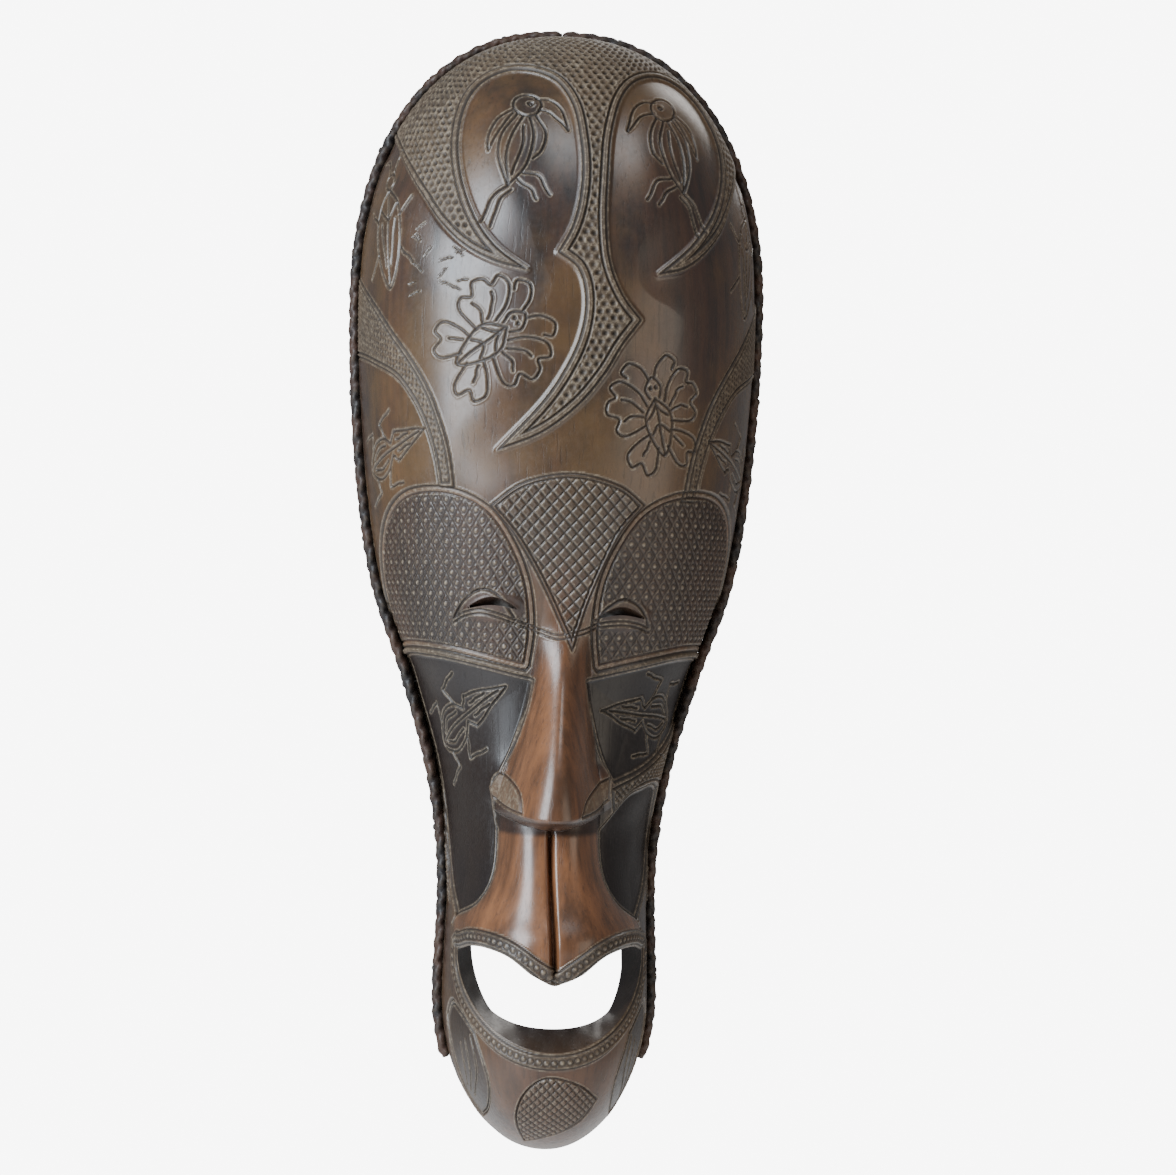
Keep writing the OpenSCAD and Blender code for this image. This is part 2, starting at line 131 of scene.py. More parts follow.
class MaskCarving(bpy.types.PropertyGroup):
    line_width: length("Line Width", "Width of an engraved line", 0.0010)
    line_depth: length("Line Depth", "Depth of an engraved line", 0.0010)
    dimple_pitch: length("Dimple Pitch", "Distance between the punched dimples", 0.0045)
    dimple_depth: length("Dimple Depth", "Depth of a punched dimple", 0.0011)
    hatch_cell: length("Hatch Cell", "Size of one cell of the crosshatching", 0.0060)
    tool_marks: length("Tool Marks", "Depth of the knife's facets on the smooth wood", 0.00022)
    gouge_depth: length("Gouge Depth", "Depth of the gouge cuts in the hollow", 0.0011)


class MaskFinish(bpy.types.PropertyGroup):
    stain: tint("Stain", "Black-brown stain of the smooth wood", (0.060, 0.028, 0.017))
    stain_dark: tint("Dark Stain", "Stain where it lies thickest", (0.012, 0.009, 0.009))
    rubbed: tint("Rubbed Wood", "Red-brown wood where the stain is rubbed thin", (0.185, 0.078, 0.033))
    golden: tint(
        "Golden Patches", "Where the stain is worn thin on the smooth wood", (0.200, 0.112, 0.042))
    ash: tint("Ash", "Grey-tan rubbing left in the carved bands", (0.104, 0.076, 0.050))
    edge: tint("Worn Edge", "Pale raised edge of the cuts", (0.310, 0.250, 0.178))
    hollow: tint("Hollow", "Dusty wood of the hollow back", (0.105, 0.066, 0.042))
    polish: bpy.props.FloatProperty(
        name="Polish", description="Strength of the wax coat", default=0.90, min=0, max=1,
        subtype="FACTOR")


class MaskStudio(bpy.types.PropertyGroup):
    distance: length("Camera Distance", "From the camera to the face", 1.474)
    turn: bpy.props.FloatProperty(
        name="Camera Turn", description="How far the camera stands to the left of the face",
        default=math.radians(4), subtype="ANGLE", unit="ROTATION")
    key_power: bpy.props.FloatProperty(
        name="Key Power", description="Power of the window light in watts", default=84)
    fill_power: bpy.props.FloatProperty(
        name="Fill Power", description="Power of the fill light in watts", default=9)


def shape():
    return bpy.context.scene.mask_shape


def carving():
    return bpy.context.scene.mask_carving


def finish():
    return bpy.context.scene.mask_finish


# ---------------------------------------------------------------- curves and helpers

def clamp(t, low=0.0, high=1.0):
    """Keeps a value between two limits."""
    return np.clip(t, low, high)


def smooth(t):
    """A soft step from 0 to 1 as t goes from 0 to 1."""
    t = clamp(t)
    return t * t * (3 - 2 * t)


def mix(a, b, t):
    return a + (b - a) * t


def bell(distance, width):
    """1 at no distance, dying away over a width."""
    return np.exp(-(distance / width) ** 2)


def through(knots, t):
    """A smooth curve through the knots, flat past its ends."""
    xs, ys = np.array(knots, float).T
    slopes = np.zeros(len(xs))
    slopes[1:-1] = (ys[2:] - ys[:-2]) / (xs[2:] - xs[:-2])
    i = clamp(np.searchsorted(xs, t, side="right") - 1, 0, len(xs) - 2)
    w = xs[i + 1] - xs[i]
    t = clamp((t - xs[i]) / w)
    return ((2 * t**3 - 3 * t**2 + 1) * ys[i] + (t**3 - 2 * t**2 + t) * w * slopes[i]
            + (3 * t**2 - 2 * t**3) * ys[i + 1] + (t**3 - t**2) * w * slopes[i + 1])


def round_end(r, fullness):
    """A rounded fall from 1 to 0 as r goes from 0 to 1. A fullness of 2 is a quarter circle."""
    return np.maximum(0, 1 - clamp(r) ** fullness) ** (1 / fullness)


def spline(points, step=1.0, closed=False):
    """Points along a smooth curve through the given ones."""
    p = np.array(points, float)
    ends = (p[-1:], p[:1], p[1:2]) if closed else (2 * p[:1] - p[1:2], 2 * p[-1:] - p[-2:-1])
    p = np.concatenate([ends[0], p, *ends[1:]])
    out = []
    for a, b, c, d in zip(p, p[1:], p[2:], p[3:]):
        n = max(2, int(np.hypot(*(c - b)) / step))
        t = np.arange(n)[:, None] / n
        out.append(0.5 * (2 * b + (c - a) * t + (2 * a - 5 * b + 4 * c - d) * t**2
                          + (3 * b - a - 3 * c + d) * t**3))
    if not closed:
        out.append(p[-2:-1])
    return np.concatenate(out)


def outline(*spans):
    """A closed outline of smooth spans that meet in corners."""
    return np.concatenate([spline(s, 2.0)[:-1] for s in spans])


def flipped(points, axis=0.0, up=0.0):
    """Points mirrored about an upright line, and moved up."""
    return [(2 * axis - x, y + up) for x, y in points]


# ---------------------------------------------------------------- form of the carved block

def half_at(z):
    """Half width of the block at a height."""
    z = np.asarray(z, float)
    return np.where(
        z < JAW_Z, HALF_W * OUTLINE[0][1] * round_end((JAW_Z - z) / JAW_Z, 2),
        np.where(z > CROWN_Z, HALF_W * round_end((z - CROWN_Z) / (BODY_H - CROWN_Z), CROWN_FULLNESS),
                 HALF_W * through(OUTLINE, z / BODY_H)))


def rounding(z):
    """How the depth falls away to nothing over the chin and the crown."""
    chin, crown = 0.11 * BODY_H, 0.3 * BODY_H
    return round_end(1 - z / chin, 2.2) * round_end(1 - (BODY_H - z) / crown, 2.3)


def depth_at(z):
    """Depth of the block on its middle line at a height."""
    s = shape()
    cheek, forehead, chin = s.cheek_depth / MM, s.forehead_depth / MM, s.chin_depth / MM
    jowl_top, jowl_tall = 0.3 * BODY_H, 0.12 * BODY_H
    return rounding(z) * (mix(cheek, forehead, through(BROW, z / BODY_H))
                          + (chin - cheek) * smooth((jowl_top - z) / jowl_tall))


def section(c):
    """Share of the depth at a share of the half width."""
    return np.maximum(0, 1 - np.abs(c) ** 2.2) ** (1 / 2.1)


def nose_base():
    """Height of the nose's underside, whose root lies a little above the eyes."""
    root_above_eyes = 8
    return (shape().eye_height - shape().nose_height) / MM + root_above_eyes


def nose_at(x, z):
    """The nose: narrow at the root, flared and rounded under at the base, with two wings."""
    s = shape()
    base, tall, half, out = nose_base(), s.nose_height / MM, s.nose_width / MM / 2, s.nose_out / MM
    share = clamp((base + tall - z) / tall)
    root_width = 0.42
    wide = half * mix(root_width, 1.0, share**1.8)
    ridge = np.maximum(0, 1 - (np.abs(x) / wide) ** mix(1.7, 2.5, share**3)) ** 0.9
    under = round_end((base + 5 + 9 * (x / half) ** 2 - z) / 8, 2.0)
    wing_out, wing_up = 7, 17
    wings = wing_out * bell(np.abs(x) - half * 0.86, 6) * bell(z - base - wing_up, 10) * under
    return out * smooth(share * 1.04) * ridge * under + wings


def lip_half(z):
    """Half width of the upper lip at a height."""
    s = shape()
    base, corner = nose_base(), s.mouth_height / MM
    flare = clamp((base - z) / (base - corner - 12))
    return mix(s.nose_width / MM * 0.44, mouth_half() + 1, flare**3.6)


def mouth_half():
    """Half width of the open mouth, which leaves a strip of wood at each corner."""
    corner_wood = 6.0
    return float(half_at(shape().mouth_height / MM)) - corner_wood


def lip_at(x, z):
    """Two columns under the nose, with a sharp groove between them, that flare to the mouth corners."""
    s = shape()
    base, corner = nose_base(), s.mouth_height / MM
    square = np.maximum(0, 1 - (np.abs(x) / lip_half(z)) ** 3) ** 0.7
    groove_share, groove_wide = 0.36, 1.5
    below = smooth((base - z) / 7)
    swell = 1 + 0.10 * below * bell(np.abs(x) - 0.45 * lip_half(z), 0.3 * lip_half(z))
    swell = swell + 0.16 * bell(z - corner - 8, 9)
    reach = smooth((base + 22 - z) / 14) * smooth((z - corner + 16) / 8)
    groove = 1 - groove_share * bell(x, groove_wide) * below
    return s.lip_out / MM * square * swell * groove * reach


def face_y(x, z):
    """The carved front, before the fine carving."""
    c = clamp(x / np.maximum(half_at(z), 1e-6), -1, 1)
    lean = through(LEAN, z)
    raised = np.maximum(nose_at(x - lean, z), lip_at(x - lean, z))
    return -(depth_at(z) * section(c) + raised * np.minimum(1, 2 * section(c)))


def inside_z(z):
    """Height in the hollow that stands behind a height on the face."""
    return np.where(z < JAW_Z, JAW_Z - (JAW_Z - z) * (JAW_Z - RIM_W) / JAW_Z,
                    np.where(z > CROWN_Z, CROWN_Z + (z - CROWN_Z) * (BODY_H - RIM_W - CROWN_Z)
                             / (BODY_H - CROWN_Z), z))


def inside_half(z):
    """Half width of the hollow behind a height on the face."""
    return half_at(z) * (1 - RIM_W / half_at(clamp(z, JAW_Z, CROWN_Z)))


def hollow_y(c, z):
    """The hollow follows the face one wall inside it, and leaves the land behind the crown."""
    deep = np.maximum(0, depth_at(z) - shape().wall / MM * rounding(z)) * section(c)
    land = np.minimum(LAND_RECESS, deep * 3)
    return -mix(deep, land, smooth((inside_z(z) - LAND_Z + LAND_STEP) / LAND_STEP))


class Wood:
    """The grid of points on which the face is carved. Rows hold heights, columns shares of the half width.
    A place on the wood is (across, up). hole is how far outside an opening a point lies, relief is how far
    it is raised, and line is how far it lies from the nearest engraved line."""

    def __init__(self):
        fine_steps, nose_side, rise_from = 20001, 8, 560
        t = np.linspace(0, 1, fine_steps)
        z = BODY_H * (1 - np.cos(math.pi * t)) / 2
        self.profile_z = z
        self.profile_up = self.run(z, depth_at(z))
        full = self.run(z, -face_y(through(LEAN, z) + nose_side, z))
        self.z = np.interp(np.linspace(0, full[-1], FACE_ROWS + 1), full, z)
        self.z[-1] = BODY_H
        self.up = np.interp(self.z, z, self.profile_up)
        c = np.sin(math.pi / 2 * (2 * t - 1))
        x = HALF_W * c
        deep = shape().forehead_depth / MM * section(c)
        dense = 1 + 0.45 * smooth(1.6 - np.abs(x) / 30)
        across = np.concatenate([[0], np.cumsum(np.hypot(np.diff(x), np.diff(deep)) * dense[1:])])
        self.c = np.interp(np.linspace(0, across[-1], FACE_COLUMNS + 1), across, c)
        self.c[0], self.c[-1] = -1, 1
        z = self.z[:, None]
        self.half = half_at(z)
        self.x = self.half * self.c
        steps = np.hypot(self.half * np.diff(self.c), depth_at(z) * np.diff(section(self.c)))
        run = np.concatenate([np.zeros((len(self.z), 1)), np.cumsum(steps, 1)], 1)
        middle = FACE_COLUMNS // 2
        self.across = run - run[:, middle:middle + 1]
        self.y = face_y(self.x, z)
        self.points = np.stack([self.x, self.y, np.broadcast_to(z, self.x.shape)], 2)
        self.normals = self.normals_of(self.points)
        rise = np.concatenate([np.zeros((1, len(self.c))),
                               np.cumsum(np.hypot(np.diff(self.y, axis=0), np.diff(z, axis=0)), 0)])
        start = int(np.searchsorted(self.up, rise_from))
        self.rise = np.where(np.arange(len(self.z))[:, None] > start,
                             rise - rise[start] + self.up[start], self.up[:, None])
        self.hole = self.hole_distance(openings())
        size = self.x.shape
        self.relief = np.zeros(size)
        self.line = np.full(size, FAR)
        self.marks = {name: np.zeros(size) for name in MARKS}

    @staticmethod
    def run(a, b):
        """Length along a path up to each of its points."""
        return np.concatenate([[0], np.cumsum(np.hypot(np.diff(a), np.diff(b)))])

    @staticmethod
    def normals_of(points):
        """Outward normals of a grid of points, which look along -Y on the face."""
        n = np.cross(np.gradient(points, axis=1), np.gradient(points, axis=0))
        size = np.linalg.norm(n, axis=2, keepdims=True)
        n = n / np.maximum(size, 1e-12)
        n[0], n[-1] = (0, 0, -1), (0, 0, 1)
        return n

    def place(self, x, z):
        """(across, up) of points on the front at widths x and heights z."""
        x, z = np.broadcast_arrays(np.asarray(x, float), np.asarray(z, float))
        row = np.interp(z, self.z, np.arange(len(self.z)))
        column = np.interp(x / half_at(z), self.c, np.arange(len(self.c)))
        i, j = np.floor(row).astype(int), np.floor(column).astype(int)
        i, j = clamp(i, 0, FACE_ROWS - 1), clamp(j, 0, FACE_COLUMNS - 1)
        fi, fj = row - i, column - j
        a = mix(self.across[i, j], self.across[i, j + 1], fj)
        b = mix(self.across[i + 1, j], self.across[i + 1, j + 1], fj)
        return np.stack([mix(a, b, fi), np.interp(z, self.profile_z, self.profile_up)], -1)

    def window(self, low, high):
        """Rows and columns of the grid that hold a box of places."""
        rows = np.searchsorted(self.up, [low[1], high[1]])
        r0, r1 = max(0, rows[0] - 1), min(len(self.up), rows[1] + 1)
        if r1 <= r0:
            return None
        near = self.across[[r0, (r0 + r1) // 2, r1 - 1]]
        columns = [(np.searchsorted(a, low[0]), np.searchsorted(a, high[0])) for a in near]
        c0 = max(0, min(a for a, b in columns) - 2)
        c1 = min(len(self.c), max(b for a, b in columns) + 2)
        return None if c1 <= c0 else (slice(r0, r1), slice(c0, c1))

    def at(self, w):
        """Places of the points in a window."""
        u = self.across[w]
        return u, np.broadcast_to(self.up[w[0], None], u.shape)

    def hole_distance(self, paths):
        """Distance outside the mouth and the eye slits, on the front."""
        found = np.full(self.x.shape, FAR)
        z = np.broadcast_to(self.z[:, None], self.x.shape)
        for path in paths:
            low, high = path.min(0) - 8, path.max(0) + 8
            r = slice(*np.searchsorted(self.z, [low[1], high[1]]))
            inside = ((self.x[r] > low[0]) & (self.x[r] < high[0])).any(0)
            k = slice(int(np.argmax(inside)), int(len(inside) - np.argmax(inside[::-1])))
            found[r, k] = np.minimum(found[r, k], -signed(self.x[r, k], z[r, k], path))
        return found


def signed(u, v, path):
    """Distance to a closed path, positive inside it."""
    u, v = u.astype(np.float32), v.astype(np.float32)
    best = np.full(u.shape, 1e9, np.float32)
    inside = np.zeros(u.shape, bool)
    for (ax, ay), (bx, by) in zip(path, np.roll(path, -1, 0)):
        dx, dy = bx - ax, by - ay
        t = np.clip(((u - ax) * dx + (v - ay) * dy) / max(dx * dx + dy * dy, 1e-12), 0, 1)
        np.minimum(best, (u - ax - t * dx) ** 2 + (v - ay - t * dy) ** 2, out=best)
        if ay != by:
            inside ^= ((v >= min(ay, by)) & (v < max(ay, by))) & (u < ax + (v - ay) / dy * dx)
    return np.sqrt(best) * np.where(inside, 1, -1)


def follow(u, v, path):
    """How far along a closed path the point nearest to each place lies, and the path's whole length."""
    best, found, run = np.full(u.shape, 1e9), np.zeros(u.shape), 0.0
    for (ax, ay), (bx, by) in zip(path, np.roll(path, -1, 0)):
        dx, dy = bx - ax, by - ay
        size = max(math.hypot(dx, dy), 1e-9)
        t = clamp(((u - ax) * dx + (v - ay) * dy) / size**2)
        far = (u - ax - t * dx) ** 2 + (v - ay - t * dy) ** 2
        found = np.where(far < best, run + t * size, found)
        best = np.minimum(best, far)
        run += size
    return found, run


def mouth_path(count=200):
    """The open mouth on the front, as (x, z): a gull-wing above and a deep curve below."""
    s = shape()
    middle, reach = s.mouth_height / MM, mouth_half()
    t = np.sin(np.linspace(-math.pi / 2, math.pi / 2, count))
    drop = s.upper_lip_drop / MM
    lower = middle - 4.8 - (s.lower_lip_drop / MM - 1.5) * round_end(np.abs(t), 2.0)
    upper = middle + through([(0, 2.5 - drop), (0.25, 2.5 - 0.62 * drop), (0.5, 2.5 - 0.17 * drop),
                              (0.72, 1.8), (0.88, 0.6), (1, -3.2)], np.abs(t))
    return np.concatenate([np.stack([reach * t, lower], 1), np.stack([reach * t, upper], 1)[::-1]])


def eye_path(side, count=60):
    """One arched eye slit on the front, as (x, z). The right one sits nearer and a little lower."""
    s = shape()
    middle, reach, height = s.eye_spacing / MM / 2, s.eye_width / MM / 2, s.eye_height / MM
    rise, corner_gap = 4, 0.8
    if side > 0:
        middle, height = middle - 3.5, height - 4
    t = np.sin(np.linspace(-math.pi / 2, math.pi / 2, count))
    bow = np.cos(t * math.pi / 2)
    mid = height + rise * (bow - 0.5)
    gap = mix(corner_gap, s.eye_gap / MM, bow)
    low, high = np.stack([reach * t, mid - gap / 2], 1), np.stack([reach * t, mid + gap / 2], 1)
    return np.concatenate([low, high[::-1]]) + (side * middle, 0)


def openings():
    return [mouth_path(), eye_path(-1), eye_path(1)]


def back_openings():
    """Where the openings come out in the hollow: the eye slits are cut on a downward slant."""
    return [straight_back(mouth_path()), eye_path(-1) + EYE_SLANT, eye_path(1) + EYE_SLANT]


def straight_back(path):
    """The mouth's outline in the hollow: as wide as the hollow allows, and higher along the lower lip."""
    half = half_at(path[:, 1])
    widest, lip_lift = 0.975, 8.5
    x = path[:, 0] * widest * float(half_at(shape().mouth_height / MM)) / mouth_half()
    corners = shape().mouth_height / MM
    low = path[:, 1] < corners - 5
    raised = lip_lift * np.maximum(0, 1 - (path[:, 0] / (0.75 * mouth_half())) ** 2) * low
    return np.stack([clamp(x, -widest * half, widest * half), path[:, 1] + raised], 1)


# ---------------------------------------------------------------- carving tools

def engrave(wood, path, width=1.0, closed=False):
    """Cuts one line along a path of places."""
    path = np.asarray(path, float)
    if closed:
        path = np.concatenate([path, path[:1]])
    reach, run = 3.0, 8
    for k in range(0, len(path) - 1, run):
        part = path[k:k + run + 1]
        w = wood.window(part.min(0) - reach, part.max(0) + reach)
        if w is None:
            continue
        u, v = wood.at(w)
        best = np.full(u.shape, 1e9)
        for (ax, ay), (bx, by) in zip(part, part[1:]):
            dx, dy = bx - ax, by - ay
            t = clamp(((u - ax) * dx + (v - ay) * dy) / max(dx * dx + dy * dy, 1e-12))
            best = np.minimum(best, (u - ax - t * dx) ** 2 + (v - ay - t * dy) ** 2)
        wood.line[w] = np.minimum(wood.line[w], np.sqrt(best) / width)


def border(wood, w, distance, offsets, width=1.0):
    """Cuts lines at set distances from an outline."""
    for offset in offsets:
        wood.line[w] = np.minimum(wood.line[w], np.abs(distance - offset) / width)


def region(wood, path, margin=6):
    """The window round an outline and the distance inside it."""
    w = wood.window(path.min(0) - margin, path.max(0) + margin)
    u, v = wood.at(w)
    return w, signed(u, v, path)


def scatter(i, j, seed):
    """A steady random number from 0 to 1 for each cell of a pattern."""
    value = np.sin(i * 12.9898 + j * 78.233 + seed * 37.719) * 43758.5453
    return value - np.floor(value)


def staggered(u, v, pitch, seed, loose=0.22, squash=0.87):
    """Distance to the nearest point of a staggered pattern, and that point's random number."""
    j = np.round(v / (pitch * squash))
    shift = np.mod(j, 2) * 0.5
    i = np.round(u / pitch - shift)
    cu = (i + shift + loose * (scatter(i, j, seed) - 0.5)) * pitch
    cv = (j + loose * (scatter(i, j, seed + 1) - 0.5)) * pitch * squash
    return np.hypot(u - cu, v - cv), scatter(i, j, seed + 2)


def punch(wood, w, mask, seed):
    """Fills a region with punched dimples whose rims stand up."""
    s = carving()
    pitch = s.dimple_pitch / MM
    u, v = wood.across[w], wood.rise[w]
    bend_u = u + 0.7 * np.sin(v / 9 + u / 23)
    bend_v = v + 0.7 * np.sin(u / 11 - v / 17)
    d, chance = staggered(bend_u, bend_v, pitch, seed, loose=0.13)
    usual_pitch = 4.5
    size = pitch / usual_pitch
    pit = bell(d, 1.25 * size) * (0.7 + 0.45 * chance)
    rim = bell(d - 2.1 * size, 0.6 * size)
    wood.relief[w] += mask * (0.25 * rim - s.dimple_depth / MM * size * pit)
    # The pit's cut mark becomes painted shade in the finish.
    mark(wood, "cut", w, mask * clamp(pit * 1.2 - 0.3))
    mark(wood, "edge", w, mask * rim * (0.3 + 0.5 * chance))
    mark(wood, "ash", w, mask)


def hatch(wood, w, mask, cell, slant, dots=0.0, ash=0.5, depth=0.6):
    """Crosses a region with slanted cuts, with a dot punched in each cell where dots is above 0."""
    u, v = wood.at(w)
    u = u + 0.5 * np.sin(v / 13)
    a = (u * math.cos(slant) + v * math.sin(slant)) / cell
    b = (u * math.cos(slant) - v * math.sin(slant)) / cell
    da, db = (a - np.round(a)) * cell, (b - np.round(b)) * cell
    ridge = np.minimum(np.abs(da - 1.0), np.abs(db - 1.0))
    da, db = np.abs(da), np.abs(db)
    d = np.minimum(da, db)
    wood.relief[w] -= mask * depth * bell(d, 0.42)
    wood.relief[w] += mask * 0.2 * bell(d - 1.0, 0.4)
    # The cut mark of each groove becomes painted shade in the finish.
    mark(wood, "cut", w, mask * bell(d, 0.42) * 0.8)
    mark(wood, "edge", w, mask * bell(ridge, 0.5) * (0.4 if dots else 0.55))
    mark(wood, "ash", w, mask * ash)
    if dots:
        i, j = np.floor(a), np.floor(b)
        r = np.hypot(u - (i + j + 1) * cell / (2 * math.cos(slant)),
                     v - (i - j) * cell / (2 * math.sin(slant)))
        chance = scatter(i, j, 5)
        wood.relief[w] += mask * (0.4 * bell(r, 0.85) - 0.4 * bell(r - 1.75, 0.5)) * dots
        mark(wood, "edge", w, mask * clamp(1.25 * bell(r, 1.0)) * (0.8 + 0.2 * chance) * dots)
        mark(wood, "cut", w, mask * bell(r - 1.8, 0.5) * 0.8 * dots)


def mark(wood, name, w, value):
    """Leaves a mark for the finish, where it is stronger than what is there."""
    wood.marks[name][w] = np.maximum(wood.marks[name][w], value)


def trough(wood, w, distance, level, reach=26):
    """Lowers the ground just outside an outline, so that the band inside it stands proud."""
    wood.relief[w] -= level * smooth(-distance / 3) * smooth((reach + distance) / (reach - 4))


def lift(wood, w, distance, level, soft=1.6):
    """Raises or lowers the wood inside an outline."""
    wood.relief[w] += level * smooth(distance / soft + 0.5)


# ---------------------------------------------------------------- drawings cut into the wood

def ring(x, y, radius):
    a = np.linspace(0, 2 * math.pi, 17)
    return [(x + radius * math.cos(t), y + radius * math.sin(t)) for t in a]


def both(*strokes):
    """Strokes on the left, and then the same on the right."""
    return [*strokes, *(flipped(stroke) for stroke in strokes)]


BIRD = [
    ring(0, 27, 7), ring(1.5, 28, 1.1),
    [(4, 32), (11, 32), (18, 26), (22, 15)], [(6, 25), (12, 24), (17, 20), (22, 15)],
    [(-6, 24), (-14, 16), (-17, 6), (-16, -2)], [(-6, 22), (-11, 12), (-16, -2)],
    [(-4, 21), (-10, 8), (-10, -6), (-3, -20)], [(-1, 20), (-5, 8), (-6, -6), (-3, -20)],
    [(2, 20), (6, 8), (4, -8), (-3, -20)], [(5, 22), (11, 12), (11, 2), (7, -4)],
    [(0, 14), (1, 4), (-2, -14)], [(-3, -20), (-10, -27), (-14, -40)], [(-1, -22), (-6, -28), (-9, -42)],
    [(3, -12), (11, -13), (18, -22)], [(1, -16), (8, -20), (12, -25)],
]
MOTH = [
    [(0, 14), (-8, 5), (-7, -7), (0, -19), (7, -7), (8, 5), (0, 14)], [(0, 13), (0, -18)],
    [(-7, 3), (-2, 7), (0, 10), (2, 7), (7, 3)], [(-6, -6), (0, -1), (6, -6)],
    [(-3, 14), (-5, 20), (0, 26), (5, 20), (3, 14)], ring(-1.7, 20, 0.6), ring(1.7, 20, 0.6),
    *both([(-6, 11), (-10, 20), (-18, 27), (-25, 25), (-23, 19), (-28, 17), (-30, 11), (-24, 7),
           (-27, 1), (-22, -3), (-8, 0)]),
    *both([(-9, 8), (-15, 15), (-20, 17)], [(-9, 5), (-16, 7), (-21, 5)]),
    *both([(-7, -5), (-15, -8), (-23, -14), (-22, -21), (-16, -20), (-14, -27), (-8, -25), (-3, -14)]),
    *both([(-8, -9), (-14, -16)]), *both([(-2, 25), (-5, 32), (-12, 36), (-17, 32), (-14, 28)]),
]
BEETLE = [
    [(0, 20), (-8, 12), (-10, 0), (-7, -14), (0, -24), (7, -14), (10, 0), (8, 12), (0, 20)],
    [(0, 19), (0, -22)], [(-7, 12), (0, 6), (7, 12)], *both([(-6, 5), (-4, -4), (-2, -14)]),
    ring(0, 24, 3.6), *both([(-2, 27), (-5, 35), (-12, 36)]),
    *both([(-9, 6), (-18, 13)]), *both([(-9, -8), (-17, -16)]),
]
LIZARD = [
    *both([(0, 35), (-5, 21), (-7, 13)]), *both([(-7, 13), (-3, 9)]),
    [(0, 31), (0, -15)], *both([(-2.6, 24), (-2.8, 14)]),
    [(-3, 9), (-8, 3), (-9, -6), (-5, -14), (0, -18), (5, -14), (9, -6), (8, 3), (3, 9)],
    *both([(-4, 4), (-5, -5), (-2, -12)]),
    *both([(-7, 5), (-16, 1)], [(-16, 1), (-18, 13)]),
    *both([(-6, -12), (-15, -9)], [(-15, -9), (-17, -22)]),
]


def draw(wood, strokes, at, turn=0.0, size=1.0, flip=1, width=1.0, seed=0):
    """Engraves a drawing at a place, turned anticlockwise by degrees."""
    rng = np.random.default_rng(seed)
    c, s = math.cos(math.radians(turn)), math.sin(math.radians(turn))
    for stroke in strokes:
        p = spline(stroke, 0.9)
        p = p + 0.22 * np.sin(np.linspace(0, 9, len(p)) + rng.uniform(0, 6))[:, None]
        x, y = p[:, 0] * flip * size, p[:, 1] * size
        engrave(wood, np.stack([at[0] + c * x - s * y, at[1] + s * x + c * y], 1), width)


# ---------------------------------------------------------------- the carved face, band by band

# In each step w is a window of the grid, and d says how far inside an outline its points lie, so that
# smooth((d - start) / fade) fills the outline's inside from start on, over a width of fade.
BAND_ASH = 0.85
# Outlines on the wood, as (across, up)
EGG_LEFT = [(-22, 533), (-38, 545), (-50, 562), (-58, 585), (-60, 608), (-55, 631), (-43, 646),
            (-26, 652), (-9, 645), (1, 627), (5, 604), (6, 584), (4, 566), (0, 553), (-6, 542)]
EGG_RIGHT = [(37, 509), (27, 521), (20, 538), (18, 560), (19, 584), (21, 608), (27, 632), (37, 647),
             (53, 653), (73, 648), (89, 634), (97, 614), (95, 592), (85, 570), (68, 550), (47, 533)]
HORN_OUTER = [(-190, 545), (-150, 532), (-125, 519), (-105, 504), (-88, 489), (-75, 473), (-66, 455),
              (-61, 440), (-58, 423)]
HORN_INNER = [(-68, 423), (-72, 440), (-80, 458), (-90, 471), (-103, 481), (-125, 488), (-150, 493),
              (-190, 497)]
EYE_AXIS = 1.5
EYE_PANEL = [(-15, 329), (-13, 350), (-16, 374), (-25, 396), (-38, 413), (-57, 422), (-80, 424),
             (-100, 420), (-117, 409), (-128, 392), (-133, 372), (-133, 352), (-130, 335)]
EYE_FLOOR = [(-130, 335), (-100, 337), (-70, 336), (-43, 332), (-15, 326)]


def carve_crown(wood):
    """The dimpled crown, its two horns round the smooth egg-shaped panels, and the blade between them."""
    cap = outline(
        [(-185, 626), (-145, 619), (-118, 609), (-100, 594), (-83, 575), (-69, 558), (-54, 545),
         (-38, 537), (-22, 533)],
        EGG_LEFT,
        [(-6, 542), (4, 534), (8, 521), (7, 505), (1, 488), (-12, 467), (-35, 442)],
        [(-35, 442), (-13, 451), (5, 465), (18, 481), (27, 496), (37, 509)],
        EGG_RIGHT,
        [(47, 533), (62, 537), (76, 546), (90, 559), (103, 576), (118, 594), (136, 609), (160, 620),
         (200, 626)],
        [(200, 626), (200, 690), (200, 780)], [(200, 780), (0, 800), (-185, 780)],
        [(-185, 780), (-185, 700), (-185, 626)])
    ground, proud, edge_band = 30, 1.0, 3.8
    w, d = region(wood, cap, ground)
    lift(wood, w, d, proud)
    trough(wood, w, d, 1.1)
    border(wood, w, d, (0.3, edge_band))
    punch(wood, w, smooth((d - edge_band - 0.8) / 0.9), seed=3)
    mark(wood, "ash", w, BAND_ASH * smooth(d + 0.8))
    draw(wood, BIRD, (-26, 597), -8, 1.04, seed=2)
    draw(wood, BIRD, (56, 598), 8, 1.08, flip=-1, seed=3)


def carve_forehead(wood):
    """Moths and beetles on the smooth forehead, and a few old scratches."""
    draw(wood, MOTH, (-43, 496), -56, 0.98, seed=5)
    draw(wood, MOTH, (49, 458), 14, 0.90, flip=-1, seed=6)
    draw(wood, BEETLE, (-112, 556), 8, 1.25, seed=7)
    draw(wood, BEETLE, (124, 546), -8, 1.25, seed=8)
    rng = np.random.default_rng(11)
    scratches = 14
    for _ in range(scratches):
        a = np.array([rng.uniform(-92, -58), rng.uniform(520, 556)])
        b = a + (rng.uniform(3, 8), rng.uniform(-5, 7))
        engrave(wood, [a, (a + b) / 2 + 0.4, b], 0.55)


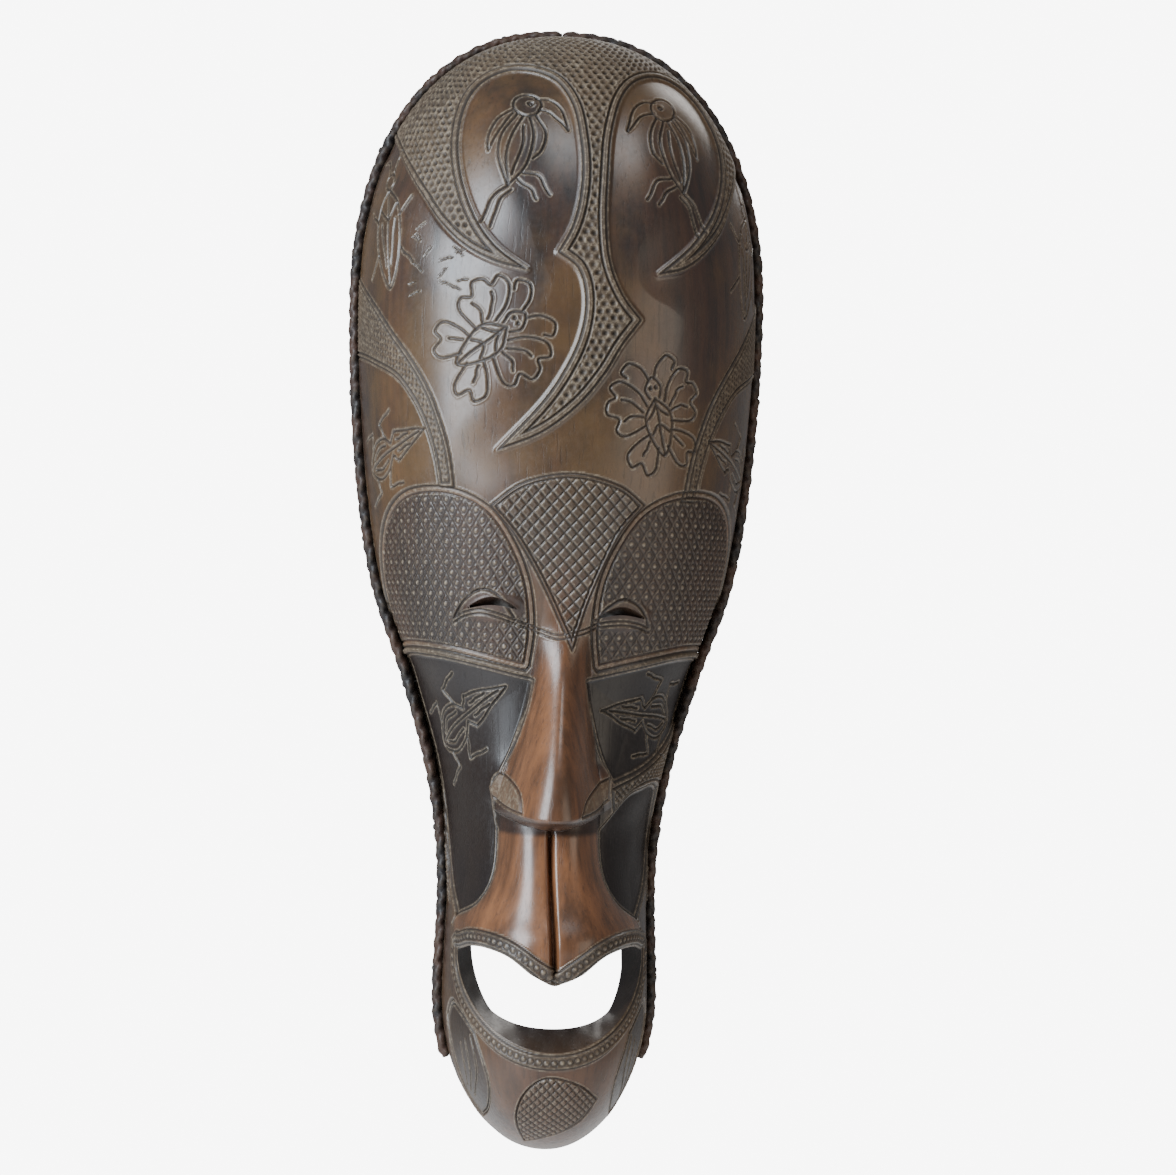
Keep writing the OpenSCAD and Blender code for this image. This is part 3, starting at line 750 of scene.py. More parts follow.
def carve_temples(wood):
    """A nicked horn that curls in from each side to the eye panel, with a lizard under it."""
    for side, drop in ((-1, 0), (1, -5)):
        outer, inner = HORN_OUTER, HORN_INNER
        if side > 0:
            outer, inner = flipped(outer, 4, drop), flipped(inner, 4, drop)
        w, d = region(wood, outline(outer, [outer[-1], inner[0]], inner, [inner[-1], outer[0]]))
        lift(wood, w, d, 0.8)
        border(wood, w, d, (0.3, 2.6))
        u, v = wood.at(w)
        nick_pitch, nick_depth = 3.6, 0.6
        q, chance = staggered(u * 0.8 + v * 0.6, v * 0.8 - u * 0.6, nick_pitch, 9, squash=0.62)
        fill = smooth((d - 2.8) / 0.8)
        wood.relief[w] -= fill * nick_depth * bell(q, 0.85)
        mark(wood, "cut", w, fill * bell(q, 0.8) * 0.9)
        mark(wood, "edge", w, fill * bell(q - 1.3, 0.4) * (0.3 + 0.4 * chance))
        mark(wood, "ash", w, BAND_ASH * smooth(d + 0.8))
        draw(wood, LIZARD, (2.0 + side * 117, 440 + drop / 2), side * 70, 1.1, flip=side,
             seed=20 + side)


def carve_eyes(wood):
    """The crosshatched brow fan, the dotted panels round the eye slits, and the lids."""
    fan = outline([(-38, 414), (-21, 426), (3, 431), (27, 426), (42, 416)],
                  [(42, 416), (30, 402), (21, 383), (13, 362), (6, 338)],
                  [(6, 338), (-4, 361), (-14, 381), (-25, 399), (-38, 414)])
    w, d = region(wood, fan)
    lift(wood, w, d, 0.9)
    border(wood, w, d, (0.2, 2.0))
    hatch(wood, w, smooth((d - 2.0) / 0.8), 4.8, slant=0.72, ash=0.22, depth=0.7)
    mark(wood, "ash", w, 0.3 * smooth(d + 0.8))
    mark(wood, "black", w, 0.4 * smooth((d - 2) / 2))
    for side in (-1, 1):
        top, floor = EYE_PANEL, EYE_FLOOR
        if side > 0:
            top, floor = flipped(top, EYE_AXIS), flipped(floor, EYE_AXIS)
        w, d = region(wood, outline(top, floor))
        edge_band, sunk, lid_wide, lid_tall = 3.4, 1.2, 24, 11
        lift(wood, w, d, -sunk, 2.2)
        border(wood, w, d, (0.2, edge_band))
        u, v = wood.at(w)
        middle = wood.place(*eye_path(side).mean(0))
        lid = np.hypot((u - middle[0]) / lid_wide, (v - middle[1] + 1) / lid_tall)
        clear = smooth((lid - 0.66) / 0.2)
        fill = smooth((d - edge_band) / 0.8) * clear
        hatch(wood, w, fill, carving().hatch_cell / MM, 0.57, dots=1.0, ash=0.03, depth=0.45)
        mark(wood, "red", w, 0.75 * smooth(d / 2))
        mark(wood, "black", w, 0.80 * smooth((d - 3) / 2))
        mark(wood, "ash", w, 0.5 * smooth(d + 0.8) * smooth((4.2 - d) / 1.2))
        wood.relief[w] += 1.1 * (1 - clear) * smooth(d / 4) * bell(lid, 0.9)
        below = [(x - side, y - edge_band) for x, y in floor[::-1]]
        strip = outline(floor, [floor[-1], (floor[-1][0] - side, 323)], below, [below[-1], floor[0]])
        w, d = region(wood, strip)
        mark(wood, "ash", w, smooth(d + 0.6))
    lids = [[(-58.5, 354.5), (-52, 363.5), (-42, 369.5), (-32, 366), (-24, 355)],
            [(18, 354), (25, 361.5), (34, 365.5), (43, 361), (49, 351)]]
    for lid in lids:
        engrave(wood, spline(lid), 1.15)
    under = [(-59, 353.5), (-51, 357.5), (-42, 359), (-32, 357), (-22, 353), (-13, 350), (-1.3, 346.4),
             (10.6, 348.8), (20, 352.5), (31.5, 354.0), (41, 353), (49.5, 350)]
    for drop in (0.0, 2.3):
        engrave(wood, spline([(u, v - drop) for u, v in under]), 0.9)


def lip_edge(wood, side, low, high, gap=0.0):
    """Places along the edge of the upper lip on one side, between two heights."""
    heights = np.linspace(low, high, 9)
    return [wood.place(float(through(LEAN, h)) + side * (float(lip_half(h)) + gap), h) for h in heights]


def carve_cheeks(wood):
    """Hollow dark cheeks with a lizard on each, and the textured ribbons beside them."""
    top, foot = nose_base() - 4, shape().mouth_height / MM + 14
    inner = lip_edge(wood, -1, top, foot, 1.0)
    left = outline([(-14, 322), (-18, 304), (-26, 283), (-38, 266)], [(-38, 266), inner[0]], inner,
                   [inner[-1], (-93, 215), (-98, 240), (-104, 262), (-112, 290), (-124, 331)],
                   [(-124, 331), (-100, 333), (-70, 332), (-43, 328), (-14, 322)])
    upper = outline([(15, 322), (18, 304), (24, 284), (33, 270)],
                    [(33, 270), (58, 277), (84, 287), (112, 300)], [(112, 300), (116, 312), (124, 331)],
                    [(124, 331), (100, 333), (70, 332), (45, 328), (15, 322)])
    inner = lip_edge(wood, 1, foot, top, 1.0)
    lower = outline([inner[-1], (44, 261), (60, 265), (76, 266), (94, 262)],
                    [(94, 262), (97, 245), (95, 220), inner[0]], inner)
    sunk, dished = 2.4, 1.8
    for path in (left, upper, lower):
        w, d = region(wood, path, 10)
        lift(wood, w, d, -sunk, 4.0)
        wood.relief[w] -= dished * smooth(d / 24)
        border(wood, w, d, (-0.6,))
        mark(wood, "black", w, smooth(d / 2.4 + 0.3))
    ribbon = outline([(31, 266), (56, 274), (84, 284), (112, 297)], [(112, 297), (106, 268)],
                     [(106, 268), (92, 267), (76, 269), (58, 268), (43, 263), (33, 254)],
                     [(33, 254), (31, 266)])
    side = outline([(-90, 200), (-95, 215), (-100, 240), (-106, 262), (-114, 290), (-126, 326)],
                   [(-126, 326), (-133, 326)],
                   [(-133, 326), (-121, 290), (-112, 262), (-106, 240), (-101, 215), (-97, 200)],
                   [(-97, 200), (-90, 200)])
    for path in (ribbon, side, np.array(flipped(side, 2))):
        w, d = region(wood, path)
        lift(wood, w, d, 0.6)
        border(wood, w, d, (0.2,), 0.9)
        hatch(wood, w, smooth((d - 0.8) / 0.6), 2.9, slant=0.9, ash=0.6, depth=0.55)
        mark(wood, "ash", w, 0.6 * smooth(d + 0.6))
    draw(wood, LIZARD, (-66, 296), -60, 1.25, width=0.9, seed=31)
    draw(wood, LIZARD, (66, 302), 84, 1.2, flip=-1, width=0.9, seed=32)


def carve_nose(wood):
    """Grey patches on the wings of the nose, the line round its base, and painted shade under the nose."""
    base = nose_base()
    left = outline([(-36, 262), (-37, 269), (-32, 274), (-26, 272), (-21, 266), (-20, 256)],
                   [(-20, 256), (-28, 258), (-36, 262)])
    right = outline([(29, 272), (21, 269), (14, 263), (11, 255)], [(11, 255), (21, 257), (29, 261)],
                    [(29, 261), (29, 272)])
    for path in (left, right):
        w, d = region(wood, path)
        border(wood, w, d, (0.0,), 0.9)
        mark(wood, "ash", w, smooth(d / 0.8))
        mark(wood, "edge", w, 0.3 * smooth(d / 0.8))
    u, v = wood.across, wood.up[:, None]
    z = wood.z[:, None]
    lean = through(LEAN, z)
    x = np.abs(wood.x - lean)
    nose = smooth(nose_at(x, z) / 7) * smooth((v - 236) / 12)
    lips = smooth((lip_half(z) - x) / 2.5) * smooth((base + 6 - z) / 8) * smooth((v - 172) / 6)
    chin = smooth((138 - v) / 12) * bell(u, 52)
    full = np.maximum(np.maximum(nose, lips), 0.9 * chin)
    # Painted shade: dark stain laid in a band along the underside of the nose, where its overhang shades the
    # lip.
    under = smooth((base + 5 + 9 * (x / 30) ** 2 - z) / 3) * smooth((z - base + 7) / 3)
    mark(wood, "black", EVERYWHERE, 0.9 * under * smooth((31 - x) / 3))
    mark(wood, "black", EVERYWHERE, 0.5 * chin)
    bridge = bell(u - 3, 13) * smooth((392 - v) / 20) * smooth((v - 318) / 8)
    mark(wood, "red", EVERYWHERE, np.maximum(full, bridge))
    for side in (-1, 1):
        engrave(wood, spline(lip_edge(wood, side, 122, base - 4)), 0.9)


def carve_mouth(wood):
    """The dotted band round the open mouth, and the leaf and side panels of the chin."""
    mouth = mouth_path(90)
    path = wood.place(mouth[:, 0], mouth[:, 1])
    w, inside = region(wood, path, 16)
    d = -inside
    wide, proud, dot_line, dot_pitch = 9.4, 1.5, 5.1, 3.6
    band = smooth((wide - d) / 1.2)
    u, v = wood.at(w)
    wood.relief[w] += proud * smooth((wide + 0.4 - d) / 1.6) * smooth(d / 1.6)
    border(wood, w, d, (1.6, 8.6), 0.8)
    run, total = follow(u, v, path)
    pitch = total / round(total / dot_pitch)
    step = np.mod(run / pitch, 1) - 0.5
    dots = np.hypot(step * pitch, d - dot_line)
    wood.relief[w] += (0.4 * bell(dots, 0.8) - 0.35 * bell(dots - 1.5, 0.4)) * band
    mark(wood, "edge", w, 0.9 * bell(dots, 0.85) * band)
    mark(wood, "cut", w, 0.7 * bell(dots - 1.55, 0.4) * band)
    mark(wood, "ash", w, 0.55 * band)
    wood.marks["red"][w] *= 1 - band
    leaf = outline([(27, 104), (14, 114), (-3, 118), (-15, 108), (-19, 90), (-13, 64)],
                   [(-13, 64), (4, 77), (18, 90), (27, 104)])
    w, d = region(wood, leaf)
    border(wood, w, d, (0.4,), 0.9)
    hatch(wood, w, smooth((d - 0.8) / 0.6), 3.4, slant=0.72, ash=0.35, depth=0.6)
    mark(wood, "black", w, 0.5 * smooth(d + 0.6))
    panel = outline([(52, 138), (66, 146), (84, 150), (98, 140)],
                    [(98, 140), (92, 118), (78, 96), (58, 80)], [(58, 80), (44, 92), (40, 112), (52, 138)])
    for side in (-1, 1):
        w, d = region(wood, panel * (side, 1) + (2, 0))
        lift(wood, w, d, -1.0, 2.4)
        border(wood, w, d, (0.2, 2.6), 0.95)
        mark(wood, "black", w, 0.8 * smooth(d / 2))
        mark(wood, "ash", w, 0.6 * smooth(d + 0.5) * smooth((3.4 - d) / 0.8))
        for k in range(3):
            curl = np.array([(58 + 7 * k, 134 - 3 * k), (54 + 8 * k, 116 - 2 * k),
                             (62 + 5 * k, 98 + 3 * k)])
            engrave(wood, spline(curl * (side, 1) + (2, 0)), 0.9)


def carve_plain(wood):
    """Knife facets on the smooth wood, and the thin strip of nicks along the edge."""
    rng = np.random.default_rng(4)
    u, v = wood.across, wood.up[:, None]
    facets = np.zeros(wood.x.shape)
    directions = 14
    for _ in range(directions):
        a, b = rng.uniform(-0.16, 0.16), rng.uniform(-0.10, 0.10)
        facets += np.sin(u * a + v * b + rng.uniform(0, 6)) / 5
    calm = 1 - wood.marks["ash"]
    wood.relief += carving().tool_marks / MM * facets * calm
    rim = wood.across[:, -1:] - np.abs(u)
    outer, inner, nick_pitch = 4, 9, 3.2
    near = smooth((inner - rim) / 1.5) * smooth((rim - outer) / 1.5)
    nick = np.abs(np.mod(v / nick_pitch + rim * 0.25, 1) - 0.5) * nick_pitch
    wood.relief -= near * 0.5 * bell(nick, 0.7)
    mark(wood, "cut", EVERYWHERE, near * bell(nick, 0.7) * 0.7)
    mark(wood, "ash", EVERYWHERE, near * 0.55)
    border(wood, EVERYWHERE, rim, (inner + 1.2,))


def cut_lines(wood):
    """Turns every engraved line into a groove with raised edges, and calms the carving at the rims."""
    s = carving()
    half = s.line_width / MM / 2
    burr_high = 0.28
    groove = bell(wood.line, half)
    burr = bell(wood.line - 2.2 * half, 0.7 * half)
    wood.relief += burr_high * burr - s.line_depth / MM * groove
    # The groove's cut mark becomes painted shade in the finish.
    mark(wood, "cut", EVERYWHERE, groove)
    mark(wood, "edge", EVERYWHERE, burr * 0.8)
    mark(wood, "ash", EVERYWHERE, bell(wood.line, 2.4 * half) * 0.5)
    rim = wood.across[:, -1:] - np.abs(wood.across)
    calm = smooth(rim / 3) * smooth(wood.hole / 1.5 + 0.1) * smooth(wood.up[:, None] / 6)
    calm = calm * smooth((wood.up[-1] - wood.up[:, None]) / 4)
    wood.relief *= calm


made = {}


def carved_wood():
    """The carved face, worked out once for all the pieces that need it."""
    if "wood" not in made:
        wood = Wood()
        for step in (carve_crown, carve_forehead, carve_temples, carve_eyes, carve_cheeks, carve_nose,
                     carve_mouth, carve_plain, cut_lines):
            step(wood)
        wood.points = wood.points + wood.normals * wood.relief[:, :, None]
        wood.normals = wood.normals_of(wood.points)
        made["wood"] = wood
    return made["wood"]


# ---------------------------------------------------------------- making pieces

def to_metres(points):
    """Points in the frame, from millimetres above the chin."""
    return (points + (0, 0, CHIN_Z / MM)) * MM


def collect(name, bm, material, node="mask_shell"):
    """Turns a bmesh into a piece of the mask that stands for a node of the frame."""
    mesh = bpy.data.meshes.new(name)
    bm.to_mesh(mesh)
    bm.free()
    mesh.materials.append(material)
    mesh.shade_smooth()
    piece = bpy.data.objects.new(name, mesh)
    bpy.context.scene.collection.objects.link(piece)
    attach(piece, "mask")
    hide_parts(node)
    return piece


def sheet_of(points, marks, flip=False):
    """A bmesh grid laid over an array of points. marks are values kept for the finish."""
    rows, columns = points.shape[:2]
    bm = bmesh.new()
    bmesh.ops.create_grid(bm, x_segments=columns - 1, y_segments=rows - 1, size=1.0)
    mesh = bpy.data.meshes.new("grid")
    bm.to_mesh(mesh)
    mesh.vertices.foreach_set("co", np.ascontiguousarray(points.reshape(-1), np.float32))
    for name, values in marks.items():
        layer = mesh.attributes.new(name, "FLOAT", "POINT")
        layer.data.foreach_set("value", np.ascontiguousarray(values.reshape(-1), np.float32))
    bm.clear()
    bm.from_mesh(mesh)
    bpy.data.meshes.remove(mesh)
    if flip:
        bmesh.ops.reverse_faces(bm, faces=bm.faces)
    return bm


NEAR_OPENING = 4


def open_holes(bm, hole, xz, paths, surface):
    """Takes out the faces over the openings and lays the cut edge on the openings' outlines."""
    bm.verts.ensure_lookup_table()
    inside = hole < 0
    gone = [f for f in bm.faces if all(inside[v.index] for v in f.verts)]
    if not gone:
        return
    for v in bm.verts:
        v.tag = False
    for f in gone:
        for v in f.verts:
            v.tag = True
    bmesh.ops.delete(bm, geom=gone, context="FACES")
    edge = [v for v in bm.verts if v.tag]
    places = np.array([xz(v.co) for v in edge])
    for path in paths:
        ends = np.roll(path, -1, 0)
        run = ends - path
        away = places[:, None] - path
        t = clamp((away * run).sum(2) / np.maximum((run**2).sum(1), 1e-12))
        gap = np.linalg.norm(away - t[..., None] * run, axis=2)
        best = gap.argmin(1)
        pick = np.arange(len(edge))
        near = gap[pick, best] < NEAR_OPENING
        onto = path[best] + t[pick, best][:, None] * run[best]
        for k in np.flatnonzero(near):
            edge[k].co = surface(*onto[k])


def smooth_normals(piece, normals):
    """Gives a strip the normals of the whole face, so that no seam shows between strips."""
    piece.data.normals_split_custom_set_from_vertices(normals)


# ---------------------------------------------------------------- finishes

class Nodes:
    """Adds and links shader nodes."""

    def __init__(self, tree):
        self.tree = tree

    def add(self, kind, ins=None, **settings):
        node = self.tree.nodes.new(kind)
        for key, value in settings.items():
            setattr(node, key, value)
        for key, value in (ins or {}).items():
            self.set(node.inputs[key], value)
        return node

    def set(self, target, value):
        if isinstance(value, bpy.types.NodeSocket):
            self.tree.links.new(value, target)
        else:
            target.default_value = value

    def math(self, operation, a, b, clamped=False):
        node = self.add("ShaderNodeMath", operation=operation, use_clamp=clamped)
        self.set(node.inputs[0], a)
        self.set(node.inputs[1], b)
        return node.outputs[0]

    def mix(self, factor, a, b):
        """Mixes two colours, whose sockets share their names with those of numbers."""
        node = self.add("ShaderNodeMix", data_type="RGBA")
        self.set(node.inputs[0], factor)
        self.set(node.inputs[6], a)
        self.set(node.inputs[7], b)
        return node.outputs[2]

    def times(self, a, b):
        return self.math("MULTIPLY", a, b)

    def group(self, tree):
        """Places a shared group of nodes."""
        return self.add("ShaderNodeGroup", node_tree=tree)

    def kept(self, name):
        """What the carving left on the piece under a name."""
        return self.add("ShaderNodeAttribute", attribute_name=name).outputs["Fac"]

    def bump(self, shader, height, strength, distance):
        """Feeds a height to a shader as fine relief."""
        node = self.add("ShaderNodeBump", {"Strength": strength, "Distance": distance})
        self.set(node.inputs["Height"], height)
        self.set(shader.inputs["Normal"], node.outputs["Normal"])

    def noise(self, vector, scale, detail=4.0, rough=0.55):
        return self.add("ShaderNodeTexNoise", {"Vector": vector, "Scale": scale, "Detail": detail,
                                               "Roughness": rough}).outputs["Fac"]

    def spread(self, value, low, high, out_low=0.0, out_high=1.0):
        """Spreads a range of values softly over another."""
        node = self.add("ShaderNodeMapRange", {"From Min": low, "From Max": high, "To Min": out_low,
                                               "To Max": out_high}, interpolation_type="SMOOTHSTEP")
        self.set(node.inputs["Value"], value)
        return node.outputs["Result"]

    def mapped(self, scale=(1, 1, 1)):
        """Places on the piece, stretched along the grain."""
        place = self.add("ShaderNodeTexCoord")
        return self.add("ShaderNodeMapping", {"Vector": place.outputs["Object"],
                                              "Scale": scale}).outputs["Vector"]


def new_group(name, inputs, outputs):
    """A group of shader nodes with named numbers going in and coming out."""
    group = bpy.data.node_groups.new(name, "ShaderNodeTree")
    for label, value in inputs.items():
        made_socket = group.interface.new_socket(label, in_out="INPUT", socket_type="NodeSocketFloat")
        made_socket.default_value = value
    for label in outputs:
        group.interface.new_socket(label, in_out="OUTPUT", socket_type="NodeSocketFloat")
    n = Nodes(group)
    return group, n, n.add("NodeGroupInput").outputs, n.add("NodeGroupOutput").inputs


def grain_group():
    """Wood grain along the height: slow streaks, fine pores and a height for bumps."""
    if "Wood Grain" in bpy.data.node_groups:
        return bpy.data.node_groups["Wood Grain"]
    group, n, given, out = new_group(
        "Wood Grain", {"Streaks": 26.0, "Pores": 620.0}, ("Streak", "Pore", "Height"))
    long_way = n.mapped((1, 1, 0.10))
    fine_way = n.mapped((1, 1, 0.045))
    streak = n.noise(long_way, given["Streaks"], 6.0, 0.62)
    line = n.noise(fine_way, given["Pores"], 3.0, 0.6)
    mid = n.noise(fine_way, 190.0, 4.0, 0.6)
    pore = n.spread(line, 0.56, 0.70)
    both_streaks = n.math("ADD", n.times(streak, 0.65), n.times(mid, 0.35))
    n.set(out["Streak"], n.spread(both_streaks, 0.36, 0.66))
    n.set(out["Pore"], pore)
    n.set(out["Height"], n.math("SUBTRACT", n.times(mid, 0.5), n.times(pore, 0.6)))
    return group


def wear_group():
    """Patches where hands have rubbed the finish."""
    if "Handling Wear" in bpy.data.node_groups:
        return bpy.data.node_groups["Handling Wear"]
    group, n, given, out = new_group(
        "Handling Wear", {"Patch Size": 9.0, "Speckle Size": 420.0}, ("Patch", "Speckle"))
    place = n.mapped()
    n.set(out["Patch"], n.spread(n.noise(place, given["Patch Size"], 5.0, 0.6), 0.38, 0.64))
    n.set(out["Speckle"], n.spread(n.noise(place, given["Speckle Size"], 3.0, 0.7), 0.42, 0.66))
    return group


# Near-black painted shade for the bottoms of the cuts, pits and nicks.
GROOVE_SHADE = (0.008, 0.006, 0.005, 1)
PORE_BLACK = (0.006, 0.004, 0.003, 1)
BARE_PORE = (0.012, 0.008, 0.006, 1)


def rgba(colour, strength=1.0):
    """A colour made lighter or darker, ready for a shader."""
    return (*(min(1, part * strength) for part in colour), 1.0)


def new_material(name):
    """An empty material, with its nodes and its shader."""
    material = bpy.data.materials.new(name)
    material.use_nodes = True
    material.node_tree.nodes.clear()
    n = Nodes(material.node_tree)
    shader = n.add("ShaderNodeBsdfPrincipled")
    out = n.add("ShaderNodeOutputMaterial")
    n.set(out.inputs["Surface"], shader.outputs[0])
    return material, n, shader


def carved_finish():
    """Waxed black-brown stain, rubbed red on the nose and lips, with ash in the carved bands, and painted shade
    in the cuts and under the nose.
    """
    f = finish()
    material, n, shader = new_material("waxed carved wood")
    grain = n.group(grain_group())
    wear = n.group(wear_group())
    left = {name: n.kept(name) for name in MARKS}
    streak, pore = grain.outputs["Streak"], grain.outputs["Pore"]
    patch, speckle = wear.outputs["Patch"], wear.outputs["Speckle"]
    smooth_wood = n.mix(streak, rgba(f.stain_dark), rgba(f.stain))
    smooth_wood = n.mix(n.times(patch, 0.44), smooth_wood, rgba(f.golden))
    red_light = rgba(f.rubbed, 1.35)
    red_wood = n.mix(streak, rgba(f.rubbed, 0.36), red_light)
    red_wood = n.mix(n.times(patch, 0.45), red_wood, rgba(f.rubbed, 0.30))
    colour = n.mix(left["red"], smooth_wood, red_wood)
    # The black mark: stain on the cheeks and panels, and painted shade under the nose and on the walls of the
    # openings, darkest deep inside them.
    colour = n.mix(n.times(left["black"], 0.92), colour, rgba(f.stain_dark))
    ashen = n.mix(speckle, rgba(f.ash, 0.55), rgba(f.ash))
    ash = n.times(left["ash"], n.spread(speckle, 0.0, 1.0, 0.6, 0.85))
    colour = n.mix(ash, colour, ashen)
    pale = n.mix(n.spread(speckle, 0, 1, 0.35, 1), rgba(f.ash), rgba(f.edge))
    edge = n.times(left["edge"], n.spread(speckle, 0.1, 0.9, 0.6, 0.95))
    colour = n.mix(edge, colour, pale)
    # Painted shade: the bottoms of the cuts, pits and nicks darkened to near black.
    colour = n.mix(n.times(left["cut"], 0.9), colour, GROOVE_SHADE)
    colour = n.mix(n.times(pore, 0.35), colour, PORE_BLACK)
    n.set(shader.inputs["Base Color"], colour)
    rough = n.math("ADD", 0.34, n.times(speckle, 0.10))
    rough = n.math("ADD", rough, n.times(left["ash"], 0.18))
    rough = n.math("ADD", rough, n.times(left["cut"], 0.2), clamped=True)
    n.set(shader.inputs["Roughness"], rough)
    n.set(shader.inputs["Coat Roughness"], 0.26)
    dull = n.math("MAXIMUM", left["ash"], n.times(left["black"], 0.85))
    coat = n.times(n.math("SUBTRACT", 1.0, dull),
                  n.spread(patch, 0.0, 1.0, f.polish, f.polish * 0.6))
    n.set(shader.inputs["Coat Weight"], coat)
    n.bump(shader, grain.outputs["Height"], 0.35, 0.0003)
    return material


def hollow_finish():
    """Bare, dusty wood with dark stain that ran in at the edges."""
    f = finish()
    material, n, shader = new_material("gouged bare wood")
    grain = n.group(grain_group())
    grain.inputs["Streaks"].default_value = 17.0
    wear = n.group(wear_group())
    ridge = n.kept("edge")
    stained = n.kept("black")
    colour = n.mix(grain.outputs["Streak"], rgba(f.hollow, 0.45), rgba(f.hollow))
    colour = n.mix(n.times(wear.outputs["Patch"], 0.4), colour,
                   rgba(f.hollow, 1.5))
    colour = n.mix(n.times(ridge, 0.5), colour, rgba(f.hollow, 2.1))
    colour = n.mix(n.times(stained, 0.85), colour, rgba(f.stain_dark))
    colour = n.mix(n.times(grain.outputs["Pore"], 0.5), colour, BARE_PORE)
    n.set(shader.inputs["Base Color"], colour)
    n.set(shader.inputs["Roughness"], n.spread(wear.outputs["Speckle"], 0, 1, 0.62, 0.85))
    n.bump(shader, grain.outputs["Height"], 0.5, 0.0006)
    return material


def band_finish():
    """Dull grey-black twisted strip with pale worn strands."""
    f = finish()
    material, n, shader = new_material("twisted edge strip")
    wear = n.group(wear_group())
    wear.inputs["Patch Size"].default_value = 60.0
    high = n.kept("edge")
    colour = n.mix(wear.outputs["Patch"], rgba(f.stain_dark), rgba(f.stain, 0.9))
    colour = n.mix(n.times(high, n.spread(wear.outputs["Speckle"], 0, 1, 0.15, 0.7)),
                   colour, rgba(f.ash, 0.75))
    n.set(shader.inputs["Base Color"], colour)
    n.set(shader.inputs["Roughness"], n.spread(wear.outputs["Speckle"], 0, 1, 0.5, 0.78))
    n.bump(shader, n.noise(n.mapped(), 900.0, 3.0), 0.5, 0.0004)
    return material


def metal_finish(name, light, dark, metallic, rough):
    """Aged metal: plated or blackened, with dull patches."""
    material, n, shader = new_material(name)
    wear = n.group(wear_group())
    wear.inputs["Patch Size"].default_value = 130.0
    wear.inputs["Speckle Size"].default_value = 900.0
    colour = n.mix(wear.outputs["Patch"], rgba(light), rgba(dark))
    colour = n.mix(n.times(wear.outputs["Speckle"], 0.35), colour, rgba(dark, 0.5))
    n.set(shader.inputs["Base Color"], colour)
    n.set(shader.inputs["Metallic"], metallic)
    n.set(shader.inputs["Roughness"], n.spread(wear.outputs["Patch"], 0, 1, rough, min(1, rough + 0.25)))
    n.bump(shader, wear.outputs["Speckle"], 0.3, 0.0001)
    return material


# ---------------------------------------------------------------- operators

class MASK_OT_carved_face(bpy.types.Operator):
    """Carve the front of the mask, in strips that share one surface"""
    bl_idname = "mask.carved_face"
    bl_label = "Carve Face"

    def execute(self, context):
        wood = carved_wood()
        material = carved_finish()
        cuts = np.linspace(0, FACE_ROWS, len(STRIPS) + 1).round().astype(int)
        paths = openings()
        for name, low, high in zip(STRIPS, cuts, cuts[1:]):
            rows = slice(low, high + 1)
            points = to_metres(wood.points[rows])
            marks = {key: wood.marks[key][rows] for key in MARKS}
            bm = sheet_of(points, marks)
            hole = wood.hole[rows].reshape(-1)
            bm.verts.ensure_lookup_table()
            keep = wood.normals[rows].reshape(-1, 3).astype(np.float32)
            number = bm.verts.layers.int.new("number")
            for v in bm.verts:
                v[number] = v.index
            open_holes(bm, hole, lambda co: (co.x / MM, (co.z - CHIN_Z) / MM), paths,
                       lambda x, z: Vector((x, float(face_y(x, z)), z + CHIN_Z / MM)) * MM)
            if low == 0 or high == FACE_ROWS:
                bmesh.ops.remove_doubles(bm, verts=bm.verts, dist=POLE)
            bmesh.ops.delete(bm, geom=[v for v in bm.verts if not v.link_faces], context="VERTS")
            piece = collect(name, bm, material)
            index = np.zeros(len(piece.data.vertices), np.int32)
            piece.data.attributes["number"].data.foreach_get("value", index)
            piece.data.attributes.remove(piece.data.attributes["number"])
            smooth_normals(piece, keep[index])
        return {"FINISHED"}


class MASK_OT_openings(bpy.types.Operator):
    """Cut the walls of the mouth and the eye slits through the wood"""
    bl_idname = "mask.openings"
    bl_label = "Cut Openings"

    def execute(self, context):
        material = bpy.data.materials.get("waxed carved wood") or carved_finish()
        steps, ripple, ripple_steps = 14, 0.35, 17
        for name, path in (("mouth_wall", mouth_path(170)), ("eye_wall_left", eye_path(-1, 50)),
                           ("eye_wall_right", eye_path(1, 50))):
            path = np.concatenate([path, path[:1]])
            x, z = path[:, 0], path[:, 1]
            front = np.stack([x, face_y(x, z), z], 1)
            x, z = (straight_back(path) if name == "mouth_wall" else path + EYE_SLANT).T
            c = x / half_at(z)
            back = np.stack([inside_half(z) * c, hollow_y(c, z), inside_z(z)], 1)
            t = np.linspace(0, 1, steps)[:, None, None]
            wave = ripple * np.sin(np.arange(len(path)) * 2 * math.pi / ripple_steps)[None, :, None]
            walls = mix(front, back, t) + np.sin(math.pi * t) * wave * (0, 0, 1)
            shade = np.broadcast_to(0.75 + 0.25 * t[:, :, 0], walls.shape[:2])
            zero = np.zeros(walls.shape[:2])
            marks = {"black": shade, "ash": zero, "cut": zero, "edge": zero, "red": zero + 0.1}
            bm = sheet_of(to_metres(walls), marks)
            bmesh.ops.remove_doubles(bm, verts=bm.verts, dist=SAME_PLACE)
            collect(name, bm, material)
        return {"FINISHED"}


